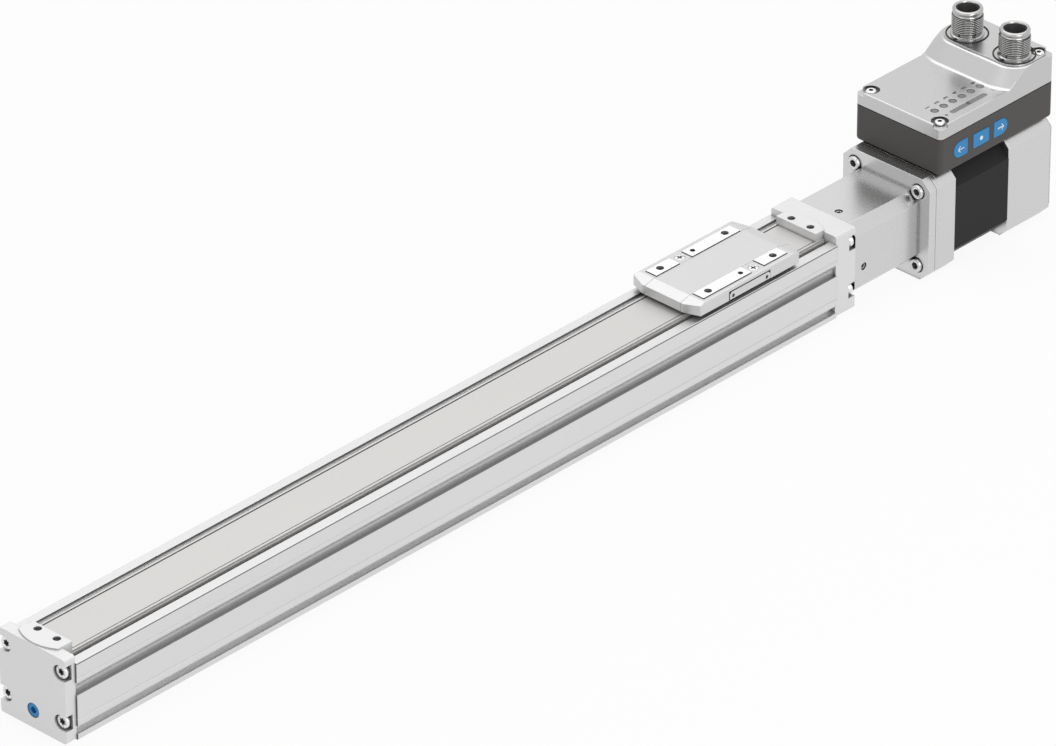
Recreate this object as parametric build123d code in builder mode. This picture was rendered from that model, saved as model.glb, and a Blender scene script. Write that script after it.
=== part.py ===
# Ball screw linear axis: a closed aluminium profile with a guided carriage on top, driven by a
# stepper motor whose controller box sits on its back.
# X runs along the axis towards the motor and Z is up. The origin is the middle of the profile's
# flat underside. Lengths are in millimetres.
from build123d import *
from math import sqrt
import os

os.makedirs("parts", exist_ok=True)

# Sizes of the profile
profile_length = 386.0
profile_width = 33.2
profile_height = 30.8
floor_thickness = 4.2
cavity_half = 11.75
slot_outer = 12.6
slot_ledge_drop = 0.9
clamp_slot_low = 2.4
clamp_slot_high = 5.5
clamp_slot_depth = 2.6
side_groove_low = 17.9
side_groove_high = 22.9
side_groove_depth = 1.8
side_groove_slope = 2.5
mark_line_heights = (8.25, 24.5)
mark_line_size = 0.25

# Height of the screw and motor axis above the underside
axis_height = 18.6

# Sizes of the cover band, which stands still and is clamped at both ends
band_half = 8.8
band_top = 31.05
band_thickness = 0.5
rim_inner = 9.05
rim_outer = 10.0
rim_rise = 0.15
lip_outer = 10.3
lip_inner = 9.6
lip_drop = 1.0
lip_bottom_drop = 2.3

# Sizes of the end covers
cover_width = 31.8
cover_height = 34.0
cover_corner = 1.0
front_cover_thickness = 5.0
drive_cover_thickness = 10.6
tongue_half = 9.6
tongue_rise = 0.6
front_tongue_reach = 5.0
drive_tongue_reach = 4.2
tongue_bulge = 2.9
front_tongue_cover = 1.6
drive_tongue_cover = 0.4
jaw_thickness = 3.5
jaw_half = 9.3
jaw_reach = 5.5

# Sizes of the screws that hold the end covers
cover_screw_y = 13.3
cover_screw_low = 8.0
cover_screw_high = 28.0
cover_head_radius = 2.65
cover_head_height = 2.5
cover_shank_radius = 1.25
cover_thread_depth = 8.0
cover_notch_depth = 3.4
cover_notch_radius = 3.0
port_radius = 2.85
port_height = 7.1
port_depth = 2.6

# Sizes of the screws that clamp the band
band_screw_y = 4.65
front_band_screw_x = 2.6
drive_band_screw_x = 1.6
band_head_radius = 1.4
band_head_height = 1.4
band_shank_radius = 1.0
band_head_sink = 1.0

# Sizes of the linear guide
rail_width = 9.0
rail_height = 5.5
rail_end_gap = 3.0
rail_track_radius = 0.6
rail_track_height = 3.3
rail_screw_pitch = 80.0
rail_screw_count = 5
rail_screw_radius = 1.25
rail_head_radius = 2.25
rail_head_height = 2.4
rail_head_sink = 2.9
rail_thread_depth = 2.8
runner_width = 20.0
runner_length = 16.6
runner_top = 14.2
runner_bottom = 5.2

# Sizes of the ball screw and its nut
screw_radius = 4.0
screw_lead = 8.0
screw_collar_radius = 3.7
floating_journal_radius = 2.5
fixed_journal_radius = 3.0
coupling_journal_radius = 2.5
nut_radius = 7.0
nut_length = 20.0
nut_cap_length = 2.5
nut_bore_gap = 0.35

# Sizes of the carriage
carriage_home = 47.0
stroke = 300.0
saddle_half_length = 30.0
saddle_half = 11.4
saddle_top = 27.2
leg_thickness = 0.75
leg_half_length = 13.0
bar_inner = 9.6
bar_outer = 14.6
bar_bottom = 31.6
bar_top = 34.0
table_half_width = 16.4
table_half_length = 28.6
table_side_half_length = 26.2
table_corner_inner = 10.1
table_bottom = 32.5
table_top = 37.2
table_bevel_start = 23.8
table_bevel_drop = 1.1
table_side_radius = 0.8
centre_cover_half = 8.75
bridge_thickness = 1.5
pad_height = 0.3
pad_inner = 8.85
pad_outer = 14.15
long_pad = (-22.3, 3.2)
short_pad = (9.9, 22.2)
table_thread_x = 17.25
table_thread_y = 11.7
table_thread_radius = 1.25
table_thread_depth = 4.2
table_thread_mouth = 1.5
pin_hole_radius = 1.0
pin_hole_depth = 2.6
table_screw_x = 6.4
table_screw_y = 12.1
table_screw_head = 2.1
table_screw_shank = 1.0
inlay_half_length = 10.9
inlay_bottom = 32.7
inlay_top = 35.9
inlay_depth = 1.6
inlay_proud = 0.1
inlay_screw_x = 8.95
inlay_screw_height = 33.9
inlay_screw_radius = 0.75

# Sizes of the coupling housing with the motor flange
housing_length = 34.6
housing_half_width = 15.9
housing_half_height = 14.9
housing_chamfer = 4.0
housing_bore = 10.6
flange_size = 42.3
flange_thickness = 5.6
flange_chamfer = 4.0
spigot_radius = 10.4
spigot_length = 5.6
grub_x = 4.8
grub_offset = 3.3
grub_radius = 1.5
grub_sink = 0.6

# Sizes of the motor
motor_size = 42.3
motor_chamfer = 4.0
stator_chamfer = 7.9
bell_length = 9.1
stator_length = 29.4
rear_housing_length = 23.2
rear_plate_thickness = 2.1
rear_plate_inset = 0.7
rear_bolt_head_height = 1.3
rear_bolt_sink = 1.5
rear_thread_depth = 8.0
pilot_radius = 11.0
pilot_length = 2.0
shaft_radius = 2.5
rotor_radius = 11.0
rotor_gap = 0.3
motor_bolt_spacing = 31.0
encoder_room = 13.0
encoder_shelf = 1.2
encoder_board_depth = 5.0
bolt_head_radius = 2.75
bolt_head_height = 3.0
bolt_shank_radius = 1.5
bolt_recess_radius = 3.1
bolt_recess_depth = 1.8
bolt_thread_depth = 5.5

# Sizes of the bearings: bore radius, outer radius, width
fixed_bearing = (fixed_journal_radius, 7.5, 5.0)
floating_bearing = (floating_journal_radius, 5.5, 4.0)
motor_bearing = (shaft_radius, 7.0, 5.0)
ball_gap = 0.6

# Sizes of the shaft coupling
hub_radius = 9.2
hub_length = 8.6
spider_length = 5.2
jaw_inner_radius = 4.2
jaw_half_angle = 18.5
leg_half_angle = 10.0
coupling_gap = 0.4

# Sizes of the controller box
box_length = 62.9
box_width = 41.7
box_corner = 2.0
base_height = 14.75
base_wall = 1.8
base_floor = 2.0
low_cover_height = 5.4
lid_rim_radius = 0.6
platform_height = 12.1
platform_corner = 8.6
platform_ledge_width = 1.1
platform_ledge_drop = 0.4
platform_shoulder_radius = 1.5
platform_foot_radius = 2.2
platform_toe = 1.0
platform_room_less = 3.0
platform_room_more = 7.0
cover_wall = 2.0
gasket_thickness = 0.4
connector_from_rear = 11.7
connector_y = 11.5
shell_thread_radius = 6.0
shell_mouth_radius = 4.9
shell_bore_radius = 4.25
shell_height = 11.1
shell_ring_radius = 7.6
shell_ring_height = 0.35
seal_radius = 8.1
seal_thickness = 0.5
insert_rise = 2.0
contact_radius = 0.5
contact_rise = 6.4
contact_circle = 2.2
box_screw_inset = 4.1
box_screw_sink = 1.3
box_head_radius = 2.0
box_head_height = 1.2
box_recess_radius = 3.3
box_shank_radius = 1.1
box_thread_depth = 5.0
box_boss_radius = 2.6
lamp_count = 6
lamp_pitch = 5.0
lamp_from_front = 8.3
lamp_y = -10.5
lamp_radius = 1.6
bar_lamp_from_front = 11.2
bar_lamp_length = 9.6
bar_lamp_width = 2.2
bar_lamp_y = -15.8
bar_lamp_gap = 0.4
button_from_front = (11.3, 22.6, 33.4)
button_height = 7.35
arrow_key_width = 7.6
arrow_key_height = 6.6
square_key_width = 8.8
square_key_height = 6.0
button_travel = 0.4
button_proud = 0.25
button_play = 0.12
button_collar = 0.7
board_seat = 9.6
board_thickness = 1.6
board_post_radius = 2.0
board_post_spacing_x = 46.0
board_post_spacing_y = 25.0
board_post_shift = 2.5
base_screw_y = 5.0
base_screw_head = 2.0
base_screw_head_height = 1.4
base_screw_radius = 1.0
base_screw_from_bell = 4.5
base_screw_from_box_rear = 5.2
base_thread_depth = 4.0
thread_play = 0.3

# Places along X that follow from the sizes
profile_end = profile_length / 2
front_face = -profile_end - front_cover_thickness
drive_face = profile_end + drive_cover_thickness
flange_face = drive_face + housing_length
motor_face = flange_face + flange_thickness
bell_end = motor_face + bell_length
stator_end = bell_end + stator_length
rear_end = stator_end + rear_housing_length
plate_end = rear_end + rear_plate_thickness
motor_top = axis_height + motor_size / 2
base_bottom = motor_top
base_top = base_bottom + base_height
cover_bottom = base_top + gasket_thickness
low_top = cover_bottom + low_cover_height
platform_top = cover_bottom + platform_height
box_front = motor_face
box_rear = box_front + box_length
box_middle = (box_front + box_rear) / 2
connector_x = box_rear - connector_from_rear
sheet_bottom = band_top - band_thickness
rim_top = band_top + rim_rise
tongue_top = cover_height + tongue_rise
rail_top = floor_thickness + rail_height
carriage_x = profile_end - carriage_home
platform_rise = platform_top - low_top
screw_axis = Axis((0, 0, axis_height), (1, 0, 0))
front_bearing_x = -profile_end - floating_bearing[2]
fixed_bearing_x = profile_end + drive_cover_thickness + 0.2 - 2 * fixed_bearing[2]
nut_unit_half = nut_length / 2 + nut_cap_length
box_screw_spots = [
    (x, y, top)
    for x, top in ((box_front + box_screw_inset, low_top), (box_rear - box_screw_inset, platform_top))
    for y in (-box_width / 2 + box_screw_inset, box_width / 2 - box_screw_inset)
]
bell_base_spots = [(bell_end - base_screw_from_bell, y) for y in (-base_screw_y, base_screw_y)]
rear_base_spots = [(box_rear - base_screw_from_box_rear, y) for y in (-base_screw_y, base_screw_y)]
face_front = Location((0, 0, 0), (0, -90, 0))
face_rear = Location((0, 0, 0), (0, 90, 0))
face_near = Location((0, 0, 0), (90, 0, 0))


def keep(piece, name):
    """Label a finished piece and write its STEP file."""
    piece.label = name
    export_step(piece, f"parts/{name}.step")


def turned(steps):
    """A solid turned about the screw axis from (x, radius) corners."""
    with BuildPart() as piece:
        with BuildSketch(Plane.XZ):
            with BuildLine():
                Polyline([(x, axis_height + radius) for x, radius in steps], close=True)
            make_face()
        revolve(axis=screw_axis)
    return piece.part


def cap_screw(head_radius, head_height, shank_radius, shank_length):
    """A cap screw whose head stands on Z = 0 and whose shank points down."""
    with BuildPart() as piece:
        Cylinder(head_radius, head_height, align=(Align.CENTER, Align.CENTER, Align.MIN))
        Cylinder(shank_radius, shank_length, align=(Align.CENTER, Align.CENTER, Align.MAX))
    return piece.part


def repeated(piece, places):
    """One node of separate copies of a piece."""
    with BuildPart() as group:
        with Locations(*places):
            add(piece)
    return group.part


def facing(direction, x, y, z):
    """A place at x, y, z turned to a direction."""
    return Location((x, y, z)) * direction


def square_section(size, chamfer_size, x, length):
    """A square bar about the screw axis with chamfered long edges."""
    with BuildPart() as bar:
        with BuildSketch(Plane.YZ.offset(x)):
            with Locations((0, axis_height)):
                square = Rectangle(size, size)
            chamfer(square.vertices(), chamfer_size)
        extrude(amount=length)
    return bar.part


# Profile: a deep channel whose two top slots let the carriage legs through beside the band
with BuildPart() as profile:
    with BuildSketch(Plane.YZ.offset(-profile_end)):
        with BuildLine():
            half = profile_width / 2
            groove_floor = half - side_groove_depth
            corners = [
                (0, 0),
                (half, 0),
                (half, clamp_slot_low),
                (half - clamp_slot_depth, clamp_slot_low),
                (half - clamp_slot_depth, clamp_slot_high),
                (half, clamp_slot_high),
            ]
            low_mark, high_mark = mark_line_heights
            corners += [
                (half, low_mark - mark_line_size),
                (half - mark_line_size, low_mark),
                (half, low_mark + mark_line_size),
                (half, side_groove_low),
                (groove_floor, side_groove_low),
                (groove_floor, side_groove_high - side_groove_slope),
                (half, side_groove_high),
                (half, high_mark - mark_line_size),
                (half - mark_line_size, high_mark),
                (half, high_mark + mark_line_size),
                (half, profile_height),
                (slot_outer, profile_height),
                (slot_outer, profile_height - slot_ledge_drop),
                (cavity_half, profile_height - slot_ledge_drop),
                (cavity_half, floor_thickness),
                (0, floor_thickness),
            ]
            Polyline(corners)
            mirror(about=Plane.YZ)
        make_face()
    extrude(amount=profile_length)
    outer_corners = profile.edges().filter_by(Axis.X).filter_by_position(Axis.Z, -0.1, 0.1)
    chamfer(outer_corners, 0.4)
    top_corners = (
        profile.edges()
        .filter_by(Axis.X)
        .filter_by_position(Axis.Z, profile_height - 0.1, profile_height + 0.1)
        .filter_by(lambda edge: abs(edge.center().Y) > slot_outer + 1)
    )
    chamfer(top_corners, 0.3)
    for end in (-1, 1):
        with BuildSketch(Plane.YZ.offset(end * profile_end)):
            with Locations((0, (cover_screw_low + cover_screw_high) / 2)):
                with GridLocations(2 * cover_screw_y, cover_screw_high - cover_screw_low, 2, 2):
                    Circle(cover_shank_radius)
        extrude(amount=-end * cover_thread_depth, mode=Mode.SUBTRACT)
    with BuildSketch(Plane.XY.offset(floor_thickness)):
        with GridLocations(rail_screw_pitch, 0, rail_screw_count, 1):
            Circle(rail_screw_radius)
    extrude(amount=-rail_thread_depth, mode=Mode.SUBTRACT)
keep(profile.part, "profile")

# Cover band: a thin channel strip with raised rims, standing still between the slots
band_length = profile_length - 0.2
with BuildPart() as cover_band:
    with BuildSketch(Plane.YZ.offset(-band_length / 2)):
        with BuildLine():
            Polyline(
                [
                    (0, sheet_bottom),
                    (lip_inner, sheet_bottom),
                    (lip_inner, rim_top - lip_bottom_drop),
                    (lip_outer, rim_top - lip_bottom_drop),
                    (lip_outer, rim_top - lip_drop),
                    (rim_outer, rim_top - lip_drop),
                    (rim_outer, rim_top),
                    (rim_inner, rim_top),
                    (rim_inner, sheet_bottom + 0.2),
                    (band_half, sheet_bottom + 0.2),
                    (band_half, band_top),
                    (0, band_top),
                ]
            )
            mirror(about=Plane.YZ)
        make_face()
    extrude(amount=band_length)
    with Locations(
        (-profile_end + front_band_screw_x, 0, band_top),
        (profile_end - drive_band_screw_x, 0, band_top),
    ):
        with GridLocations(0, 2 * band_screw_y, 1, 2):
            Hole(band_shank_radius)
keep(cover_band.part, "cover_band")


def end_cover_body(outer_x, inner_x, tongue_reach, tongue_cover, screw_x):
    """An end cover with its clamping tongue and jaw. Its inner face meets the profile's end."""
    inward = 1 if inner_x > outer_x else -1
    tip = inner_x + inward * tongue_reach
    root = inner_x - inward * tongue_cover
    with BuildPart() as body:
        with BuildSketch(Plane.YZ.offset(min(outer_x, inner_x))):
            with Locations((0, cover_height / 2)):
                RectangleRounded(cover_width, cover_height, cover_corner)
        extrude(amount=abs(inner_x - outer_x))
        with BuildSketch(Plane.XY.offset(rim_top)):
            with BuildLine():
                Polyline(
                    [(root, tongue_half), (tip, tongue_half), (tip, -tongue_half), (root, -tongue_half)]
                )
                ThreePointArc((root, -tongue_half), (root - inward * tongue_bulge, 0), (root, tongue_half))
            make_face()
        extrude(amount=tongue_top - rim_top)
        with BuildSketch(Plane.XY.offset(sheet_bottom)):
            with Locations((inner_x + inward * jaw_reach / 2, 0)):
                Rectangle(jaw_reach, 2 * jaw_half)
        extrude(amount=-jaw_thickness)
        with Locations((inner_x + inward * screw_x, 0, tongue_top)):
            with GridLocations(0, 2 * band_screw_y, 1, 2):
                CounterBoreHole(
                    band_shank_radius,
                    band_head_radius + 0.1,
                    band_head_sink + band_head_height,
                    depth=tongue_top - sheet_bottom + jaw_thickness,
                )
        # Screw seats, open to both sides
        with BuildSketch(Plane.YZ.offset(outer_x)):
            for side in (-1, 1):
                for height in (cover_screw_low, cover_screw_high):
                    with Locations((side * cover_screw_y, height)):
                        Circle(cover_notch_radius)
                    with Locations((side * (cover_screw_y + cover_notch_radius), height)):
                        Rectangle(2 * cover_notch_radius, 2 * cover_notch_radius)
        extrude(amount=inward * cover_notch_depth, mode=Mode.SUBTRACT)
        with BuildSketch(Plane.YZ.offset(outer_x)):
            with Locations((0, (cover_screw_low + cover_screw_high) / 2)):
                with GridLocations(2 * cover_screw_y, cover_screw_high - cover_screw_low, 2, 2):
                    Circle(cover_shank_radius)
        extrude(amount=inner_x - outer_x, mode=Mode.SUBTRACT)
    return body.part


front_body = end_cover_body(
    front_face, -profile_end, front_tongue_reach, front_tongue_cover, front_band_screw_x
)
with BuildPart() as front_cover:
    add(front_body)
    with BuildSketch(Plane.YZ.offset(-profile_end)):
        with Locations((0, axis_height)):
            Circle(floating_bearing[1])
    extrude(amount=-floating_bearing[2], mode=Mode.SUBTRACT)
    with BuildSketch(Plane.YZ.offset(front_face)):
        with Locations((0, port_height)):
            Circle(port_radius)
    extrude(amount=port_depth, mode=Mode.SUBTRACT)
keep(front_cover.part, "front_cover")

drive_body = end_cover_body(
    drive_face, profile_end, drive_tongue_reach, drive_tongue_cover, drive_band_screw_x
)
with BuildPart() as drive_cover:
    add(drive_body)
    with BuildSketch(Plane.YZ.offset(drive_face)):
        with Locations((0, axis_height)):
            Circle(spigot_radius)
    extrude(amount=spigot_length)
    with BuildSketch(Plane.YZ.offset(drive_face + spigot_length)):
        with Locations((0, axis_height)):
            Circle(fixed_bearing[1])
    extrude(amount=fixed_bearing_x - drive_face - spigot_length, mode=Mode.SUBTRACT)
    with BuildSketch(Plane.YZ.offset(profile_end)):
        with Locations((0, axis_height)):
            Circle(fixed_bearing[1] - 1.5)
    extrude(amount=drive_cover_thickness, mode=Mode.SUBTRACT)
keep(drive_cover.part, "drive_cover")

cover_screw_grip = cover_thread_depth - 0.5
front_screw = cap_screw(
    cover_head_radius,
    cover_head_height,
    cover_shank_radius,
    front_cover_thickness - cover_notch_depth + cover_screw_grip,
)
drive_screw = cap_screw(
    cover_head_radius,
    cover_head_height,
    cover_shank_radius,
    drive_cover_thickness - cover_notch_depth + cover_screw_grip,
)
cover_screw_spots = [
    (y, z) for y in (-cover_screw_y, cover_screw_y) for z in (cover_screw_low, cover_screw_high)
]
front_seat = front_face + cover_notch_depth
drive_seat = drive_face - cover_notch_depth
front_screw_places = [facing(face_front, front_seat, y, z) for y, z in cover_screw_spots]
drive_screw_places = [facing(face_rear, drive_seat, y, z) for y, z in cover_screw_spots]
keep(repeated(front_screw, front_screw_places), "front_cover_screws")
keep(repeated(drive_screw, drive_screw_places), "drive_cover_screws")

band_screw = cap_screw(band_head_radius, band_head_height, band_shank_radius, jaw_thickness)
band_seat = tongue_top - band_head_sink - band_head_height
band_screw_spots = [
    Location((x, y, band_seat))
    for x in (-profile_end + front_band_screw_x, profile_end - drive_band_screw_x)
    for y in (-band_screw_y, band_screw_y)
]
keep(repeated(band_screw, band_screw_spots), "band_screws")

# Port plug: a small threaded plug with a hexagon socket in the front cover
with BuildPart() as port_plug:
    with BuildSketch(Plane.YZ.offset(front_face + 0.2)):
        with Locations((0, port_height)):
            Circle(port_radius)
    extrude(amount=port_depth - 0.2)
    with BuildSketch(Plane.YZ.offset(front_face + 0.2)):
        with Locations((0, port_height)):
            RegularPolygon(port_radius * 0.5, 6)
    extrude(amount=1.2, mode=Mode.SUBTRACT)
    chamfer(port_plug.faces().sort_by(Axis.X)[0].outer_wire().edges(), 0.3)
keep(port_plug.part, "port_plug")

# Guide rail with its ball tracks and fixing holes
rail_length = profile_length - 2 * rail_end_gap
with BuildPart() as guide_rail:
    with BuildSketch(Plane.YZ.offset(-rail_length / 2)):
        with Locations((0, floor_thickness + rail_height / 2)):
            Rectangle(rail_width, rail_height)
        with Locations((0, floor_thickness + rail_track_height)):
            with GridLocations(rail_width, 0, 2, 1):
                Circle(rail_track_radius, mode=Mode.SUBTRACT)
    extrude(amount=rail_length)
    with Locations((0, 0, rail_top)):
        with GridLocations(rail_screw_pitch, 0, rail_screw_count, 1):
            CounterBoreHole(rail_screw_radius, rail_head_radius + 0.2, rail_head_sink)
keep(guide_rail.part, "guide_rail")

rail_seat = rail_top - rail_head_sink
rail_screw = cap_screw(
    rail_head_radius,
    rail_head_height,
    rail_screw_radius,
    rail_height - rail_head_sink + rail_thread_depth - thread_play,
)
first_rail_screw = -(rail_screw_count - 1) / 2 * rail_screw_pitch
rail_screw_places = [
    Location((first_rail_screw + i * rail_screw_pitch, 0, rail_seat)) for i in range(rail_screw_count)
]
keep(repeated(rail_screw, rail_screw_places), "rail_screws")

# Ball screw with its bearing journals
screw_end = fixed_bearing_x - 1.5
journal_end = fixed_bearing_x + 2 * fixed_bearing[2] + 3.0
screw_tip = drive_face + spigot_length + 0.6 + hub_length
ball_screw_steps = [
    (front_bearing_x + 0.2, 0),
    (front_bearing_x + 0.2, floating_journal_radius),
    (-profile_end + 1.0, floating_journal_radius),
    (-profile_end + 1.0, screw_radius),
    (screw_end, screw_radius),
    (screw_end, screw_collar_radius),
    (fixed_bearing_x, screw_collar_radius),
    (fixed_bearing_x, fixed_journal_radius),
    (journal_end, fixed_journal_radius),
    (journal_end, coupling_journal_radius),
    (screw_tip, coupling_journal_radius),
    (screw_tip, 0),
]
keep(turned(ball_screw_steps), "ball_screw")


def bearing_rings(sizes, starts):
    """Outer and inner rings of like ball bearings, with the gap where the balls run."""
    bore, outer, width = sizes
    ring_height = (outer - bore - ball_gap) / 2
    pairs = []
    for low, high in ((outer - ring_height, outer), (bore, bore + ring_height)):
        with BuildPart() as rings:
            for start in starts:
                add(turned([(start, low), (start, high), (start + width, high), (start + width, low)]))
        pairs.append(rings.part)
    return pairs


motor_bearing_front = bell_end - 1.5 - motor_bearing[2]
motor_bearing_rear = stator_end + 2.0
fixed_outer, fixed_inner = bearing_rings(
    fixed_bearing, (fixed_bearing_x, fixed_bearing_x + fixed_bearing[2])
)
floating_outer, floating_inner = bearing_rings(floating_bearing, (front_bearing_x,))
motor_outer, motor_inner = bearing_rings(motor_bearing, (motor_bearing_front, motor_bearing_rear))
with BuildPart() as bearing_outer_rings:
    add(fixed_outer)
    add(floating_outer)
    add(motor_outer)
keep(bearing_outer_rings.part, "bearing_outer_rings")
with BuildPart() as bearing_inner_rings:
    add(fixed_inner)
    add(floating_inner)
    add(motor_inner)
keep(bearing_inner_rings.part, "bearing_inner_rings")

# Bearing retainer in the spigot and the lock nut on the screw
retainer_start = fixed_bearing_x + 2 * fixed_bearing[2]
retainer_bore = fixed_bearing[1] - 1.2
retainer_steps = [
    (retainer_start, retainer_bore),
    (retainer_start, fixed_bearing[1]),
    (retainer_start + 3.0, fixed_bearing[1]),
    (retainer_start + 3.0, retainer_bore),
]
keep(turned(retainer_steps), "bearing_retainer")
with BuildPart() as lock_nut:
    with BuildSketch(Plane.YZ.offset(retainer_start)):
        with Locations((0, axis_height)):
            Circle(5.2)
            Circle(fixed_journal_radius, mode=Mode.SUBTRACT)
            with PolarLocations(5.2, 4):
                Rectangle(1.2, 1.6, mode=Mode.SUBTRACT)
    extrude(amount=3.0)
keep(lock_nut.part, "lock_nut")

# Ball nut with its two end caps, fixed in the saddle by two set screws
nut_steps = [
    (carriage_x - nut_length / 2, screw_radius + nut_bore_gap),
    (carriage_x - nut_length / 2, nut_radius),
    (carriage_x + nut_length / 2, nut_radius),
    (carriage_x + nut_length / 2, screw_radius + nut_bore_gap),
]
keep(turned(nut_steps), "ball_nut")
with BuildPart() as nut_end_caps:
    for side in (-1, 1):
        inner = carriage_x + side * nut_length / 2
        with BuildSketch(Plane.YZ.offset(inner)):
            with Locations((0, axis_height)):
                Circle(nut_radius)
                Circle(screw_radius + nut_bore_gap, mode=Mode.SUBTRACT)
        extrude(amount=side * nut_cap_length)
keep(nut_end_caps.part, "nut_end_caps")

# Saddle: the inner carriage body. It holds the nut, stands on the runners and reaches up
# through the two slots with thin legs to the bars under the table.
screw_channel = screw_radius + 1.0
leg_inner = saddle_half - leg_thickness
with BuildPart() as saddle:
    with BuildSketch(Plane.YZ.offset(carriage_x - saddle_half_length)):
        with Locations((0, rail_top + 0.3)):
            Rectangle(2 * saddle_half, saddle_top - rail_top - 0.3, align=(Align.CENTER, Align.MIN))
    extrude(amount=2 * saddle_half_length)
    for side in (-1, 1):
        with BuildSketch(Plane.YZ.offset(carriage_x + side * nut_unit_half)):
            with Locations((0, runner_top)):
                Rectangle(2 * saddle_half, runner_top, align=(Align.CENTER, Align.MAX))
            with Locations((0, axis_height)):
                Circle(screw_channel)
            with Locations((0, axis_height)):
                Rectangle(2 * screw_channel, axis_height, align=(Align.CENTER, Align.MAX))
        extrude(amount=side * saddle_half_length, mode=Mode.SUBTRACT)
    with BuildSketch(Plane.YZ.offset(carriage_x - nut_unit_half)):
        with Locations((0, axis_height)):
            Circle(nut_radius)
    extrude(amount=2 * nut_unit_half, mode=Mode.SUBTRACT)
    for side in (-1, 1):
        with BuildSketch(Plane.XY.offset(saddle_top)):
            with Locations((carriage_x, side * (leg_inner + saddle_half) / 2)):
                Rectangle(2 * leg_half_length, leg_thickness)
        extrude(amount=bar_top - saddle_top)
        with BuildSketch(Plane.XY.offset(bar_bottom)):
            with Locations((carriage_x, side * (bar_inner + bar_outer) / 2)):
                Rectangle(2 * leg_half_length, bar_outer - bar_inner)
        extrude(amount=bar_top - bar_bottom)
    with Locations(
        (carriage_x - table_screw_x, table_screw_y, bar_top),
        (carriage_x + table_screw_x, -table_screw_y, bar_top),
    ):
        Hole(table_screw_shank, depth=bar_top - bar_bottom)
    with Locations((carriage_x, 0, saddle_top)):
        with GridLocations(nut_length / 2, 0, 2, 1):
            Hole(table_screw_shank, depth=saddle_top - axis_height - nut_radius + 0.1)
keep(saddle.part, "saddle")

set_screw_length = saddle_top - axis_height - nut_radius - 0.1
with BuildPart() as nut_set_screws:
    with Locations((carriage_x, 0, axis_height + nut_radius)):
        with GridLocations(nut_length / 2, 0, 2, 1):
            Cylinder(table_screw_shank, set_screw_length, align=(Align.CENTER, Align.CENTER, Align.MIN))
keep(nut_set_screws.part, "nut_set_screws")

# Runners of the linear guide, one before and one behind the nut
runner_gap = 0.3
with BuildPart() as guide_runners:
    for side in (-1, 1):
        with BuildSketch(Plane.YZ.offset(carriage_x + side * (nut_unit_half + 0.5))):
            with Locations((0, runner_bottom)):
                Rectangle(runner_width, runner_top - runner_bottom, align=(Align.CENTER, Align.MIN))
                Rectangle(
                    rail_width + 2 * runner_gap,
                    rail_top + runner_gap - runner_bottom,
                    align=(Align.CENTER, Align.MIN),
                    mode=Mode.SUBTRACT,
                )
        extrude(amount=side * runner_length)
keep(guide_runners.part, "guide_runners")


def table_outline():
    """Plan of the table: a long plate with cut corners."""
    with BuildSketch() as plan:
        with BuildLine():
            Polyline(
                [
                    (-table_half_length, -table_corner_inner),
                    (-table_side_half_length, -table_half_width),
                    (table_side_half_length, -table_half_width),
                    (table_half_length, -table_corner_inner),
                    (table_half_length, table_corner_inner),
                    (table_side_half_length, table_half_width),
                    (-table_side_half_length, table_half_width),
                    (-table_half_length, table_corner_inner),
                ],
                close=True,
            )
        make_face()
    return plan.sketch


def end_bevels():
    """The two sloped wedges that are cut from the table's ends."""
    with BuildPart() as wedges:
        with BuildSketch(Plane.XZ.offset(-table_half_width - 1)):
            with BuildLine():
                Polyline(
                    [
                        (table_bevel_start, table_top),
                        (table_half_length + 1, table_top + 1),
                        (table_half_length + 1, table_top - table_bevel_drop * 1.2),
                    ],
                    close=True,
                )
            make_face()
            mirror(about=Plane.YZ)
        extrude(amount=2 * table_half_width + 2)
    return wedges.part


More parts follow.
